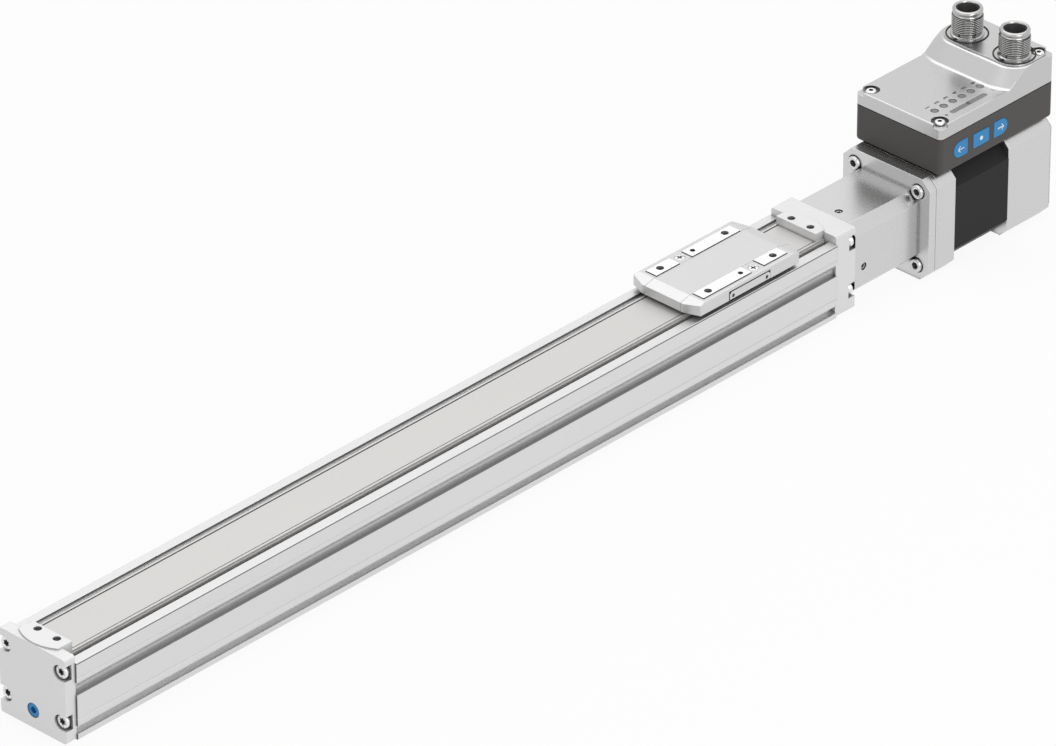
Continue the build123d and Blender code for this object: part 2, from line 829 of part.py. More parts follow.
plan = table_outline()
bevels = end_bevels()
table_centre = Location((carriage_x, 0, 0))
with BuildPart() as carriage_table:
    with BuildSketch(Plane.XY.offset(table_bottom)):
        with Locations((carriage_x, 0)):
            add(plan)
    extrude(amount=table_top - table_bottom)
    side_edges = carriage_table.edges().filter_by(Axis.X).group_by(Axis.Z)[-1]
    fillet(side_edges, table_side_radius)
    with Locations(table_centre):
        add(bevels, mode=Mode.SUBTRACT)
    # Channel for the centre cover, leaving a thin bridge
    with BuildSketch(Plane.XY.offset(table_bottom + bridge_thickness)):
        with Locations((carriage_x, 0)):
            Rectangle(2 * table_half_length, 2 * centre_cover_half)
    extrude(amount=table_top, mode=Mode.SUBTRACT)
    for side in (-1, 1):
        with BuildSketch(Plane.XY.offset(table_bottom)):
            with Locations((carriage_x + side * table_half_length, 0)):
                Rectangle(2 * (table_half_length - table_bevel_start), 2 * centre_cover_half)
        extrude(amount=bridge_thickness, mode=Mode.SUBTRACT)
    # Recess for the saddle's bars
    with BuildSketch(Plane.XY.offset(table_bottom)):
        for side in (-1, 1):
            with Locations((carriage_x, side * (bar_inner + bar_outer) / 2)):
                Rectangle(2 * leg_half_length, bar_outer - bar_inner)
    extrude(amount=bar_top - table_bottom, mode=Mode.SUBTRACT)
    # Machined pads, turned half round on the far side
    with BuildSketch(Plane.XY.offset(table_top)):
        for side in (-1, 1):
            for start, stop in (long_pad, short_pad):
                with Locations((carriage_x - side * (start + stop) / 2, side * (pad_inner + pad_outer) / 2)):
                    Rectangle(stop - start, pad_outer - pad_inner)
    extrude(amount=pad_height)
    with Locations((carriage_x, 0, table_top + pad_height)):
        with GridLocations(2 * table_thread_x, 2 * table_thread_y, 2, 2):
            CounterSinkHole(
                table_thread_radius, table_thread_mouth, depth=table_thread_depth, counter_sink_angle=90
            )
        with GridLocations(0, 2 * table_thread_y, 1, 2):
            Hole(pin_hole_radius, depth=pin_hole_depth)
    with Locations(
        (carriage_x - table_screw_x, table_screw_y, table_top),
        (carriage_x + table_screw_x, -table_screw_y, table_top),
    ):
        CounterSinkHole(
            table_screw_shank,
            table_screw_head,
            depth=table_top - bar_top + 0.1,
            counter_sink_angle=90,
        )
    # Seats for the side inlays
    for side in (-1, 1):
        with BuildSketch(Plane.XZ.offset(side * table_half_width)):
            with Locations((carriage_x, table_bottom)):
                Rectangle(2 * inlay_half_length, inlay_top - table_bottom, align=(Align.CENTER, Align.MIN))
        extrude(amount=-side * inlay_depth, mode=Mode.SUBTRACT)
keep(carriage_table.part, "carriage_table")

with BuildPart() as centre_cover:
    with BuildSketch(Plane.XY.offset(table_bottom)):
        with Locations((carriage_x, 0)):
            Rectangle(2 * table_half_length, 2 * centre_cover_half - 0.2)
    extrude(amount=table_top - table_bottom)
    with Locations(table_centre):
        add(bevels, mode=Mode.SUBTRACT)
    with BuildSketch(Plane.XY.offset(table_bottom)):
        with Locations((carriage_x, 0)):
            Rectangle(2 * table_bevel_start, 2 * centre_cover_half)
    extrude(amount=bridge_thickness, mode=Mode.SUBTRACT)
keep(centre_cover.part, "centre_cover")

table_screw_depth = table_top - bar_top
head_cone = table_screw_head - table_screw_shank
with BuildPart() as table_screw:
    Cone(
        table_screw_shank,
        table_screw_head - 0.05,
        head_cone,
        align=(Align.CENTER, Align.CENTER, Align.MAX),
    )
    Cylinder(
        table_screw_shank,
        table_screw_depth + bar_top - bar_bottom - 0.2,
        align=(Align.CENTER, Align.CENTER, Align.MAX),
    )
table_screw_spots = [
    Location((carriage_x - table_screw_x, table_screw_y, table_top)),
    Location((carriage_x + table_screw_x, -table_screw_y, table_top)),
]
keep(repeated(table_screw.part, table_screw_spots), "table_screws")

# Side inlays with their screws, one on each side of the table
with BuildPart() as side_inlays:
    for side in (-1, 1):
        with BuildSketch(Plane.XZ.offset(side * (table_half_width + inlay_proud))):
            with Locations((carriage_x, inlay_bottom)):
                plate = Rectangle(
                    2 * inlay_half_length - 0.4,
                    inlay_top - 0.2 - inlay_bottom,
                    align=(Align.CENTER, Align.MIN),
                )
            chamfer(plate.vertices().group_by(Axis.Y)[-1], 0.9)
        extrude(amount=-side * (inlay_depth + inlay_proud))
        with BuildSketch(Plane.XZ.offset(side * (table_half_width + inlay_proud))):
            with Locations((carriage_x, inlay_screw_height)):
                with GridLocations(2 * inlay_screw_x, 0, 2, 1):
                    Circle(inlay_screw_radius)
        extrude(amount=-side * (inlay_depth + inlay_proud), mode=Mode.SUBTRACT)
keep(side_inlays.part, "side_inlays")
with BuildPart() as inlay_screws:
    for side in (-1, 1):
        with BuildSketch(Plane.XZ.offset(side * (table_half_width - 0.1))):
            with Locations((carriage_x, inlay_screw_height)):
                with GridLocations(2 * inlay_screw_x, 0, 2, 1):
                    Circle(inlay_screw_radius)
        extrude(amount=-side * (inlay_depth - 0.1))
keep(inlay_screws.part, "inlay_screws")

# Coupling housing with its square motor flange
bolt_spots = [
    (side_y * motor_bolt_spacing / 2, axis_height + side_z * motor_bolt_spacing / 2)
    for side_y in (-1, 1)
    for side_z in (-1, 1)
]
grub_centre = Location((drive_face + grub_x, 0, axis_height))
grub_places = [
    grub_centre * Location((0, 0, 0), (angle, 0, 0)) * Location((0, -grub_offset, 0))
    for angle in (0, 90, 180, 270)
]
flange_plate = square_section(flange_size, flange_chamfer, flange_face, flange_thickness)
with BuildPart() as coupling_housing:
    with BuildSketch(Plane.YZ.offset(drive_face)):
        with Locations((0, axis_height)):
            body = Rectangle(2 * housing_half_width, 2 * housing_half_height)
        chamfer(body.vertices(), housing_chamfer)
    extrude(amount=housing_length)
    add(flange_plate)
    with BuildSketch(Plane.YZ.offset(drive_face)):
        with Locations((0, axis_height)):
            Circle(housing_bore)
    extrude(amount=housing_length + flange_thickness - pilot_length, mode=Mode.SUBTRACT)
    with BuildSketch(Plane.YZ.offset(motor_face)):
        with Locations((0, axis_height)):
            Circle(pilot_radius)
    extrude(amount=-pilot_length, mode=Mode.SUBTRACT)
    with BuildSketch(Plane.YZ.offset(flange_face)):
        with Locations(*bolt_spots):
            Circle(bolt_recess_radius)
    extrude(amount=bolt_recess_depth, mode=Mode.SUBTRACT)
    with BuildSketch(Plane.YZ.offset(flange_face)):
        with Locations(*bolt_spots):
            Circle(bolt_shank_radius)
    extrude(amount=flange_thickness, mode=Mode.SUBTRACT)
    with Locations(*grub_places):
        Cylinder(
            grub_radius,
            2 * housing_half_width,
            align=(Align.CENTER, Align.CENTER, Align.MIN),
            mode=Mode.SUBTRACT,
        )
keep(coupling_housing.part, "coupling_housing")

# Set screws that clamp the housing on the drive cover's spigot
spigot_contact = sqrt(spigot_radius**2 - (grub_offset - grub_radius) ** 2) + 0.05
with BuildPart() as housing_set_screws:
    for place, reach in zip(grub_places, (housing_half_height, housing_half_width) * 2):
        with Locations(place * Location((0, 0, spigot_contact))):
            Cylinder(
                grub_radius,
                reach - grub_sink - spigot_contact,
                align=(Align.CENTER, Align.CENTER, Align.MIN),
            )
keep(housing_set_screws.part, "housing_set_screws")

flange_bolt = cap_screw(
    bolt_head_radius,
    bolt_head_height,
    bolt_shank_radius,
    flange_thickness - bolt_recess_depth + bolt_thread_depth - thread_play,
)
bolt_seat = flange_face + bolt_recess_depth
keep(repeated(flange_bolt, [facing(face_front, bolt_seat, y, z) for y, z in bolt_spots]), "flange_bolts")

# Motor front bell with its pilot ring and bearing seat
bell_block = square_section(motor_size, motor_chamfer, motor_face, bell_length)
with BuildPart() as motor_front_bell:
    add(bell_block)
    with BuildSketch(Plane.YZ.offset(motor_face)):
        with Locations((0, axis_height)):
            Circle(pilot_radius)
    extrude(amount=-pilot_length)
    with BuildSketch(Plane.YZ.offset(motor_face - pilot_length)):
        with Locations((0, axis_height)):
            Circle(motor_bearing[0] + 1.8)
    extrude(amount=bell_length + pilot_length, mode=Mode.SUBTRACT)
    with BuildSketch(Plane.YZ.offset(bell_end)):
        with Locations((0, axis_height)):
            Circle(motor_bearing[1])
    extrude(amount=motor_bearing_front - bell_end, mode=Mode.SUBTRACT)
    with BuildSketch(Plane.YZ.offset(motor_face)):
        with Locations(*bolt_spots):
            Circle(bolt_shank_radius)
    extrude(amount=bolt_thread_depth, mode=Mode.SUBTRACT)
    with BuildSketch(Plane.XY.offset(motor_top)):
        with Locations(*bell_base_spots):
            Circle(base_screw_radius)
    extrude(amount=-base_thread_depth, mode=Mode.SUBTRACT)
    bell_edges = motor_front_bell.edges().group_by(Axis.X)[-1].filter_by(GeomType.LINE)
    chamfer(bell_edges, 0.4)
keep(motor_front_bell.part, "motor_front_bell")

stator_block = square_section(motor_size - 0.4, stator_chamfer, bell_end, stator_length)
with BuildPart() as motor_stator:
    add(stator_block)
    with BuildSketch(Plane.YZ.offset(bell_end)):
        with Locations((0, axis_height)):
            Circle(rotor_radius + rotor_gap)
            with PolarLocations(rotor_radius + 2.6, 8):
                Rectangle(4.0, 3.0)
    extrude(amount=stator_length, mode=Mode.SUBTRACT)
keep(motor_stator.part, "motor_stator")

# Windings in the stator's eight slots
with BuildPart() as motor_windings:
    with BuildSketch(Plane.YZ.offset(bell_end + 0.3)):
        with Locations((0, axis_height)):
            with PolarLocations(rotor_radius + 2.85, 8):
                Rectangle(3.4, 2.7)
    extrude(amount=stator_length - 0.6)
keep(motor_windings.part, "motor_windings")

rotor_margin = 1.6
rotor_start = bell_end + rotor_margin
rotor_stop = stator_end - rotor_margin
keep(
    turned(
        [
            (rotor_start, shaft_radius),
            (rotor_start, rotor_radius),
            (rotor_stop, rotor_radius),
            (rotor_stop, shaft_radius),
        ]
    ),
    "motor_rotor",
)
motor_hub_start = screw_tip + spider_length
encoder_seat = motor_bearing_rear + motor_bearing[2] + 5.0
shaft_steps = [
    (motor_hub_start, 0),
    (motor_hub_start, shaft_radius),
    (encoder_seat, shaft_radius),
    (encoder_seat, 0),
]
keep(turned(shaft_steps), "motor_shaft")
magnet_steps = [
    (encoder_seat, 0),
    (encoder_seat, 3.0),
    (encoder_seat + 2.5, 3.0),
    (encoder_seat + 2.5, 0),
]
keep(turned(magnet_steps), "encoder_magnet")

# Motor rear housing with the rear bearing seat and room for the encoder
rear_block = square_section(motor_size, motor_chamfer, stator_end, rear_housing_length)
encoder_room_start = motor_bearing_rear + motor_bearing[2] + 1.5
encoder_board_x = rear_end - encoder_board_depth
with BuildPart() as motor_rear_housing:
    add(rear_block)
    with BuildSketch(Plane.YZ.offset(stator_end)):
        with Locations((0, axis_height)):
            Circle(motor_bearing[1])
    extrude(amount=motor_bearing_rear + motor_bearing[2] - stator_end, mode=Mode.SUBTRACT)
    with BuildSketch(Plane.YZ.offset(stator_end)):
        with Locations((0, axis_height)):
            Circle(motor_bearing[0] + 1.8)
    extrude(amount=rear_housing_length, mode=Mode.SUBTRACT)
    with BuildSketch(Plane.YZ.offset(rear_end)):
        with Locations((0, axis_height)):
            Circle(encoder_room - encoder_shelf)
    extrude(amount=encoder_room_start - rear_end, mode=Mode.SUBTRACT)
    with BuildSketch(Plane.YZ.offset(rear_end)):
        with Locations((0, axis_height)):
            Circle(encoder_room)
    extrude(amount=encoder_board_x - rear_end, mode=Mode.SUBTRACT)
    with BuildSketch(Plane.YZ.offset(rear_end)):
        with Locations(*bolt_spots):
            Circle(bolt_shank_radius)
    extrude(amount=-rear_thread_depth, mode=Mode.SUBTRACT)
    with BuildSketch(Plane.XY.offset(motor_top)):
        with Locations(*rear_base_spots):
            Circle(base_screw_radius)
    extrude(amount=-base_thread_depth, mode=Mode.SUBTRACT)
    front_edges = motor_rear_housing.edges().group_by(Axis.X)[0].filter_by(GeomType.LINE)
    chamfer(front_edges, 0.4)
keep(motor_rear_housing.part, "motor_rear_housing")

board_steps = [
    (encoder_board_x, 0),
    (encoder_board_x, encoder_room - 0.1),
    (encoder_board_x + board_thickness, encoder_room - 0.1),
    (encoder_board_x + board_thickness, 0),
]
keep(turned(board_steps), "encoder_board")

rear_plate_size = motor_size - 2 * rear_plate_inset
rear_plate_block = square_section(rear_plate_size, motor_chamfer, rear_end, rear_plate_thickness)
with BuildPart() as motor_rear_plate:
    add(rear_plate_block)
    back_edges = motor_rear_plate.edges().group_by(Axis.X)[-1]
    chamfer(back_edges, 0.8)
    with BuildSketch(Plane.YZ.offset(plate_end)):
        with Locations(*bolt_spots):
            Circle(bolt_head_radius + 0.1)
    extrude(amount=-rear_bolt_sink, mode=Mode.SUBTRACT)
    with BuildSketch(Plane.YZ.offset(plate_end)):
        with Locations(*bolt_spots):
            Circle(bolt_shank_radius)
    extrude(amount=-rear_plate_thickness, mode=Mode.SUBTRACT)
keep(motor_rear_plate.part, "motor_rear_plate")
rear_bolt = cap_screw(
    bolt_head_radius,
    rear_bolt_head_height,
    bolt_shank_radius,
    rear_plate_thickness - rear_bolt_sink + rear_thread_depth - thread_play,
)
rear_bolt_seat = plate_end - rear_bolt_sink
keep(repeated(rear_bolt, [facing(face_rear, rear_bolt_seat, y, z) for y, z in bolt_spots]), "rear_bolts")


def sector(plane_x, length, inner, outer, middle, half_angle):
    """A ring sector about the screw axis, extruded along X, as a private solid."""
    section = Plane(origin=(plane_x, 0, axis_height), x_dir=(0, 1, 0), z_dir=(1, 0, 0))
    start = middle - half_angle
    with BuildPart() as wedge:
        with BuildSketch(section):
            with BuildLine():
                near = CenterArc((0, 0), inner, start, 2 * half_angle)
                far = CenterArc((0, 0), outer, start, 2 * half_angle)
                Line(near @ 0, far @ 0)
                Line(near @ 1, far @ 1)
            make_face()
        extrude(amount=length)
    return wedge.part


def coupling_hub(start, jaw_side, angle, bore):
    """A hub whose three jaws reach into the spider on its jaw side."""
    stop = start + hub_length
    jaw_length = spider_length - coupling_gap
    jaw_start = stop if jaw_side > 0 else start - jaw_length
    with BuildPart() as hub:
        add(turned([(start, bore), (start, hub_radius), (stop, hub_radius), (stop, bore)]))
        for jaw in range(3):
            middle = angle + jaw * 120
            add(sector(jaw_start, jaw_length, jaw_inner_radius, hub_radius, middle, jaw_half_angle))
    return hub.part


keep(coupling_hub(screw_tip - hub_length, 1, 0, coupling_journal_radius), "coupling_hub_screw")
keep(coupling_hub(motor_hub_start, -1, 60, shaft_radius), "coupling_hub_motor")
spider_core_steps = [
    (screw_tip + coupling_gap / 2, 0),
    (screw_tip + coupling_gap / 2, jaw_inner_radius - 0.1),
    (motor_hub_start - coupling_gap / 2, jaw_inner_radius - 0.1),
    (motor_hub_start - coupling_gap / 2, 0),
]
with BuildPart() as coupling_spider:
    add(turned(spider_core_steps))
    for leg in range(6):
        add(
            sector(
                screw_tip + coupling_gap / 2,
                spider_length - coupling_gap,
                jaw_inner_radius - 0.4,
                hub_radius - 0.2,
                30 + leg * 60,
                leg_half_angle,
            )
        )
keep(coupling_spider.part, "coupling_spider")

# Controller box base: an open tray on top of the motor
button_middles = [(box_front + x, base_bottom + button_height) for x in button_from_front]


def button_face(index, grow):
    """Outline of a key: round-ended arrows at the sides and a square key between them."""
    with BuildSketch() as face:
        if index == 1:
            RectangleRounded(square_key_width + 2 * grow, square_key_height + 2 * grow, 0.6)
        else:
            width = arrow_key_width + 2 * grow
            tall = arrow_key_height + 2 * grow
            side = -1 if index == 0 else 1
            with Locations((side * (width - tall) / 2, 0)):
                Circle(tall / 2)
            with Locations((-side * tall / 4, 0)):
                Rectangle(width - tall / 2, tall)
    return face.sketch


with BuildPart() as controller_base:
    with BuildSketch(Plane.XY.offset(base_bottom)):
        with Locations((box_middle, 0)):
            RectangleRounded(box_length, box_width, box_corner)
    extrude(amount=base_height)
    fillet(controller_base.faces().sort_by(Axis.Z)[0].edges(), 1.4)
    with BuildSketch(Plane.XY.offset(base_top)):
        with Locations((box_middle, 0)):
            RectangleRounded(box_length - 2 * base_wall, box_width - 2 * base_wall, 1.0)
    extrude(amount=base_floor - base_height, mode=Mode.SUBTRACT)
    with BuildSketch(Plane.XY.offset(base_bottom + base_floor)):
        with Locations((box_middle, board_post_shift)):
            with GridLocations(board_post_spacing_x, board_post_spacing_y, 2, 2):
                Circle(board_post_radius)
    extrude(amount=board_seat - base_floor)
    with BuildSketch(Plane.XY.offset(base_bottom + base_floor)):
        with Locations(*[(x, y) for x, y, top in box_screw_spots]):
            Circle(box_boss_radius)
    extrude(amount=base_height - base_floor)
    with BuildSketch(Plane.XY.offset(base_top)):
        with Locations(*[(x, y) for x, y, top in box_screw_spots]):
            Circle(box_shank_radius)
    extrude(amount=-box_thread_depth, mode=Mode.SUBTRACT)
    with BuildSketch(Plane.XY.offset(base_bottom)):
        with Locations(*bell_base_spots, *rear_base_spots):
            Circle(base_screw_radius)
    extrude(amount=base_floor, mode=Mode.SUBTRACT)
    for index, (x, z) in enumerate(button_middles):
        with BuildSketch(Plane.XZ.offset(box_width / 2)):
            with Locations((x, z)):
                add(button_face(index, button_play))
        extrude(amount=-base_wall, mode=Mode.SUBTRACT)
keep(controller_base.part, "controller_base")

base_screw = cap_screw(
    base_screw_head,
    base_screw_head_height,
    base_screw_radius,
    base_floor + base_thread_depth - thread_play,
)
base_screw_places = [Location((x, y, base_bottom + base_floor)) for x, y in bell_base_spots + rear_base_spots]
keep(repeated(base_screw, base_screw_places), "base_screws")

# The three push buttons, each with a collar inside the wall
button_names = ("button_back", "button_select", "button_next")
button_wall_inner = -box_width / 2 + base_wall
for index, (x, z) in enumerate(button_middles):
    with BuildPart() as button:
        with BuildSketch(Plane.XZ.offset(box_width / 2 + button_proud)):
            with Locations((x, z)):
                add(button_face(index, 0))
        extrude(amount=-button_proud - base_wall - 0.8)
        with BuildSketch(Plane.XZ.offset(-button_wall_inner)):
            with Locations((x, z)):
                add(button_face(index, button_collar))
        extrude(amount=-0.8)
        outer_rim = button.faces().sort_by(Axis.Y)[0].edges()
        chamfer(outer_rim, 0.2)
    keep(button.part, button_names[index])

# Switches behind the buttons, on the board's edge
switch_front = button_wall_inner + 0.8 + button_travel + 0.15
with BuildPart() as key_switches:
    for x, z in button_middles:
        with Locations((x, switch_front, z)):
            Box(6.0, 2.6, 4.4, align=(Align.CENTER, Align.MIN, Align.CENTER))
keep(key_switches.part, "key_switches")

with BuildPart() as circuit_board:
    with BuildSketch(Plane.XY.offset(base_bottom + board_seat)):
        with Locations((box_middle, 0)):
            RectangleRounded(box_length - 2 * base_wall - 1.0, box_width - 2 * base_wall - 3.0, 1.0)
        with Locations(*[(x, y) for x, y, top in box_screw_spots]):
            Circle(box_boss_radius + 0.4, mode=Mode.SUBTRACT)
    extrude(amount=board_thickness)
keep(circuit_board.part, "circuit_board")

with BuildPart() as cover_gasket:
    with BuildSketch(Plane.XY.offset(base_top)):
        with Locations((box_middle, 0)):
            RectangleRounded(box_length - 0.6, box_width - 0.6, box_corner)
            RectangleRounded(box_length - 2 * base_wall, box_width - 2 * base_wall, 1.0, mode=Mode.SUBTRACT)
    extrude(amount=gasket_thickness)
keep(cover_gasket.part, "cover_gasket")

# Controller cover: a low die-cast lid that ramps up to the connector platform. The ramp is turned
# about each connector, so its front corners are cones, and the lid's outline cuts off its sides.
ramp_shoulder = platform_corner + platform_ledge_width
ramp_foot = ramp_shoulder + platform_rise - platform_ledge_drop


def ramp_section(middle, way, far):
    """Side view of the platform over the lid: ramped on one way of the middle, closed at far."""
    shoulder = (middle + way * ramp_shoulder, platform_top - platform_ledge_drop)
    foot = (middle + way * ramp_foot, low_top)
    toe = middle + way * (ramp_foot + platform_toe)
    with BuildSketch() as section:
        with BuildLine():
            Polyline(
                [
                    (far, platform_top),
                    (middle + way * platform_corner, platform_top),
                    (middle + way * platform_corner, platform_top - platform_ledge_drop),
                    shoulder,
                    foot,
                    (toe, low_top),
                    (toe, low_top - 1),
                    (far, low_top - 1),
                ],
                close=True,
            )
        make_face()
        for corner, radius in ((shoulder, platform_shoulder_radius), (foot, platform_foot_radius)):
            fillet(section.vertices().sort_by_distance(corner)[0], radius)
    return section.sketch


cone_section = ramp_section(connector_x, -1, connector_x)
slab_section = ramp_section(connector_x, -1, box_rear)
side_sections = [ramp_section(side * connector_y, side, 0) for side in (-1, 1)]
lamp_places = [(box_front + lamp_from_front + i * lamp_pitch, lamp_y) for i in range(lamp_count)]
bar_lamp_start = box_front + bar_lamp_from_front + bar_lamp_length / 2
bar_lamp_places = [(bar_lamp_start + (bar_lamp_length + bar_lamp_gap) * i, bar_lamp_y) for i in range(2)]
with BuildPart() as controller_cover:
    with BuildSketch(Plane.XY.offset(cover_bottom)):
        with Locations((box_middle, 0)):
            RectangleRounded(box_length, box_width, box_corner)
    extrude(amount=low_cover_height)
    fillet(controller_cover.faces().sort_by(Axis.Z)[-1].edges(), lid_rim_radius)
    for side in (-1, 1):
        with BuildSketch(Plane.XZ.offset(-side * connector_y)):
            add(cone_section)
        revolve(axis=Axis((connector_x, side * connector_y, 0), (0, 0, 1)))
    with BuildSketch(Plane.XZ.offset(-connector_y)):
        add(slab_section)
    extrude(amount=2 * connector_y)
    with BuildSketch(Plane.YZ.offset(connector_x)):
        add(side_sections)
    extrude(amount=connector_from_rear)
    with BuildSketch(Plane.XY.offset(cover_bottom)):
        with Locations((box_middle, 0)):
            RectangleRounded(box_length, box_width, box_corner)
    extrude(amount=platform_height, mode=Mode.INTERSECT)
    with BuildSketch(Plane.XY.offset(cover_bottom)):
        with Locations((box_middle, 0)):
            RectangleRounded(box_length - 2 * cover_wall - 3.0, box_width - 2 * cover_wall - 3.0, 2.0)
        with Locations(*[(x, y) for x, y, top in box_screw_spots]):
            Circle(box_boss_radius + 0.4, mode=Mode.SUBTRACT)
    extrude(amount=low_cover_height - cover_wall, mode=Mode.SUBTRACT)
    with BuildSketch(Plane.XY.offset(low_top - cover_wall)):
        with Locations((connector_x, 0)):
            Rectangle(2 * platform_corner - platform_room_less, 2 * connector_y + platform_room_more)
    extrude(amount=platform_rise, mode=Mode.SUBTRACT)
    with BuildSketch(Plane.XY.offset(platform_top)):
        with Locations((connector_x, -connector_y), (connector_x, connector_y)):
            Circle(shell_thread_radius - 0.8)
    extrude(amount=-cover_wall, mode=Mode.SUBTRACT)
    with BuildSketch(Plane.XY.offset(low_top)):
        with Locations(*lamp_places):
            Circle(lamp_radius)
        with Locations(*bar_lamp_places):
            SlotOverall(bar_lamp_length, bar_lamp_width)
    extrude(amount=-cover_wall, mode=Mode.SUBTRACT)
    for x, y, top in box_screw_spots:
        corner_x = box_front if x < box_middle else box_rear
        corner_y = -box_width / 2 if y < 0 else box_width / 2
        with BuildSketch(Plane.XY.offset(top)):
            with Locations((x, y)):
                Circle(box_recess_radius)
            with Locations(((x + corner_x) / 2, (y + corner_y) / 2)):
                Rectangle(box_screw_inset, box_screw_inset)
        extrude(amount=-box_screw_sink, mode=Mode.SUBTRACT)
        with BuildSketch(Plane.XY.offset(top)):
            with Locations((x, y)):
                Circle(box_shank_radius)
        extrude(amount=cover_bottom - top, mode=Mode.SUBTRACT)
keep(controller_cover.part, "controller_cover")

with BuildPart() as box_screws:
    for x, y, top in box_screw_spots:
        seat = top - box_screw_sink
        with Locations((x, y, seat)):
            Cylinder(box_head_radius, box_head_height, align=(Align.CENTER, Align.CENTER, Align.MIN))
            Cylinder(
                box_shank_radius,
                seat - base_top + box_thread_depth - thread_play,
                align=(Align.CENTER, Align.CENTER, Align.MAX),
            )
keep(box_screws.part, "box_screws")

with BuildPart() as status_lamps:
    with BuildSketch(Plane.XY.offset(low_top - cover_wall)):
        with Locations(*lamp_places):
            Circle(lamp_radius)
    extrude(amount=cover_wall - 0.1)
keep(status_lamps.part, "status_lamps")
with BuildPart() as level_lamps:
    with BuildSketch(Plane.XY.offset(low_top - cover_wall)):
        with Locations(*bar_lamp_places):
            SlotOverall(bar_lamp_length, bar_lamp_width)
    extrude(amount=cover_wall - 0.1)
keep(level_lamps.part, "level_lamps")


def connector_profile(corners):
    """A solid turned about a vertical axis from (radius, height above the platform) corners."""
    with BuildPart() as piece:
        with BuildSketch(Plane.XZ):
            with BuildLine():
                Polyline([(radius, platform_top + height) for radius, height in corners], close=True)
            make_face()
        revolve(axis=Axis.Z)
    return piece.part


shell = connector_profile(
    [
        (shell_thread_radius - 0.8, -cover_wall),
        (shell_thread_radius - 0.8, 0),
        (shell_ring_radius, 0),
        (shell_ring_radius, shell_ring_height),
        (shell_thread_radius - 0.6, shell_ring_height),
        (shell_thread_radius - 0.6, 1.1),
        (shell_thread_radius, 1.6),
        (shell_thread_radius, shell_height - 2.3),
        (shell_thread_radius - 0.5, shell_height - 2.0),
        (shell_thread_radius - 0.5, shell_height - 1.2),
        (shell_mouth_radius, shell_height),
        (shell_bore_radius, shell_height),
        (shell_bore_radius, -cover_wall),
    ]
)
seal = connector_profile(
    [
        (shell_ring_radius + 0.05, 0),
        (seal_radius, 0),
        (seal_radius, seal_thickness / 2),
        (shell_ring_radius + 0.05, seal_thickness / 2),
    ]
)
insert_body = connector_profile(
    [
        (0, -cover_wall),
        (shell_bore_radius, -cover_wall),
        (shell_bore_radius, insert_rise),
        (0, insert_rise),
    ]
)
contact_length = contact_rise - insert_rise
with BuildPart() as contacts:
    with Locations((0, 0, platform_top + insert_rise)):
        Cylinder(contact_radius, contact_length, align=(Align.CENTER, Align.CENTER, Align.MIN))
        with PolarLocations(contact_circle, 4, start_angle=45):
            Cylinder(contact_radius, contact_length, align=(Align.CENTER, Align.CENTER, Align.MIN))
near_place = Location((connector_x, -connector_y, 0))
far_place = Location((connector_x, connector_y, 0))
keep(repeated(shell, [near_place]), "connector_shell_near")
keep(repeated(shell, [far_place]), "connector_shell_far")
keep(repeated(insert_body, [near_place, far_place]), "connector_inserts")
keep(repeated(contacts.part, [near_place, far_place]), "connector_pins")
keep(repeated(seal, [near_place, far_place]), "connector_seals")
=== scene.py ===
import bpy
import bmesh
import math
from mathutils import Matrix, Vector


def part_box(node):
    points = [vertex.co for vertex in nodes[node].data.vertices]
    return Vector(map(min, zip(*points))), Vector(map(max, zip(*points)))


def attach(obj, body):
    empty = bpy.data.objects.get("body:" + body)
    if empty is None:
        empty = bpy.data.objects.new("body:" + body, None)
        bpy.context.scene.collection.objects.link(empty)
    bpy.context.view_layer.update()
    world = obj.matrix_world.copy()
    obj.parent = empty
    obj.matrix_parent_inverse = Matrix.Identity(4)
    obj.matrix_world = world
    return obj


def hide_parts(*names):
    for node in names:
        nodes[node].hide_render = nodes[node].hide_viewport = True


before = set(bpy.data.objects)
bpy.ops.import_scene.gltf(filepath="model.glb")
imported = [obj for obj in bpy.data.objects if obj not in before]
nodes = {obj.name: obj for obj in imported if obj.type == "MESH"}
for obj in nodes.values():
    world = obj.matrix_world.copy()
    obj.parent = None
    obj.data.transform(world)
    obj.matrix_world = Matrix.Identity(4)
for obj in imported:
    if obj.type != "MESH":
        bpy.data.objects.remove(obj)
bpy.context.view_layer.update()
print("frame loaded:", len(nodes), "nodes")

# The studio: a pale floor, soft lamps and a camera at the photograph's angle

studio = {
    "cameraSpot": (-2.17753, -2.10065, 1.87270),
    "cameraAzimuth": -46.643,
    "cameraElevation": 31.005,
    "lens": 343.77,
    "floorHeight": -0.0026,
    "floorColour": (0.86, 0.86, 0.86, 1.0),
    "floorWhite": 0.92,
    "worldLevel": 0.52,
}
lamps = {
    "topLamp": {"spot": (0.5, 0.6, 2.2), "aim": (0.05, 0, 0), "size": (2.6, 2.6), "power": 23.0},
    "sideLamp": {"spot": (0.0, -0.85, 0.42), "aim": (0.03, 0, 0), "size": (0.5, 0.4), "power": 2.4},
    "frontLamp": {"spot": (-2.4, 0.4, 0.7), "aim": (0.0, 0, 0), "size": (1.6, 1.2), "power": 3.2},
}


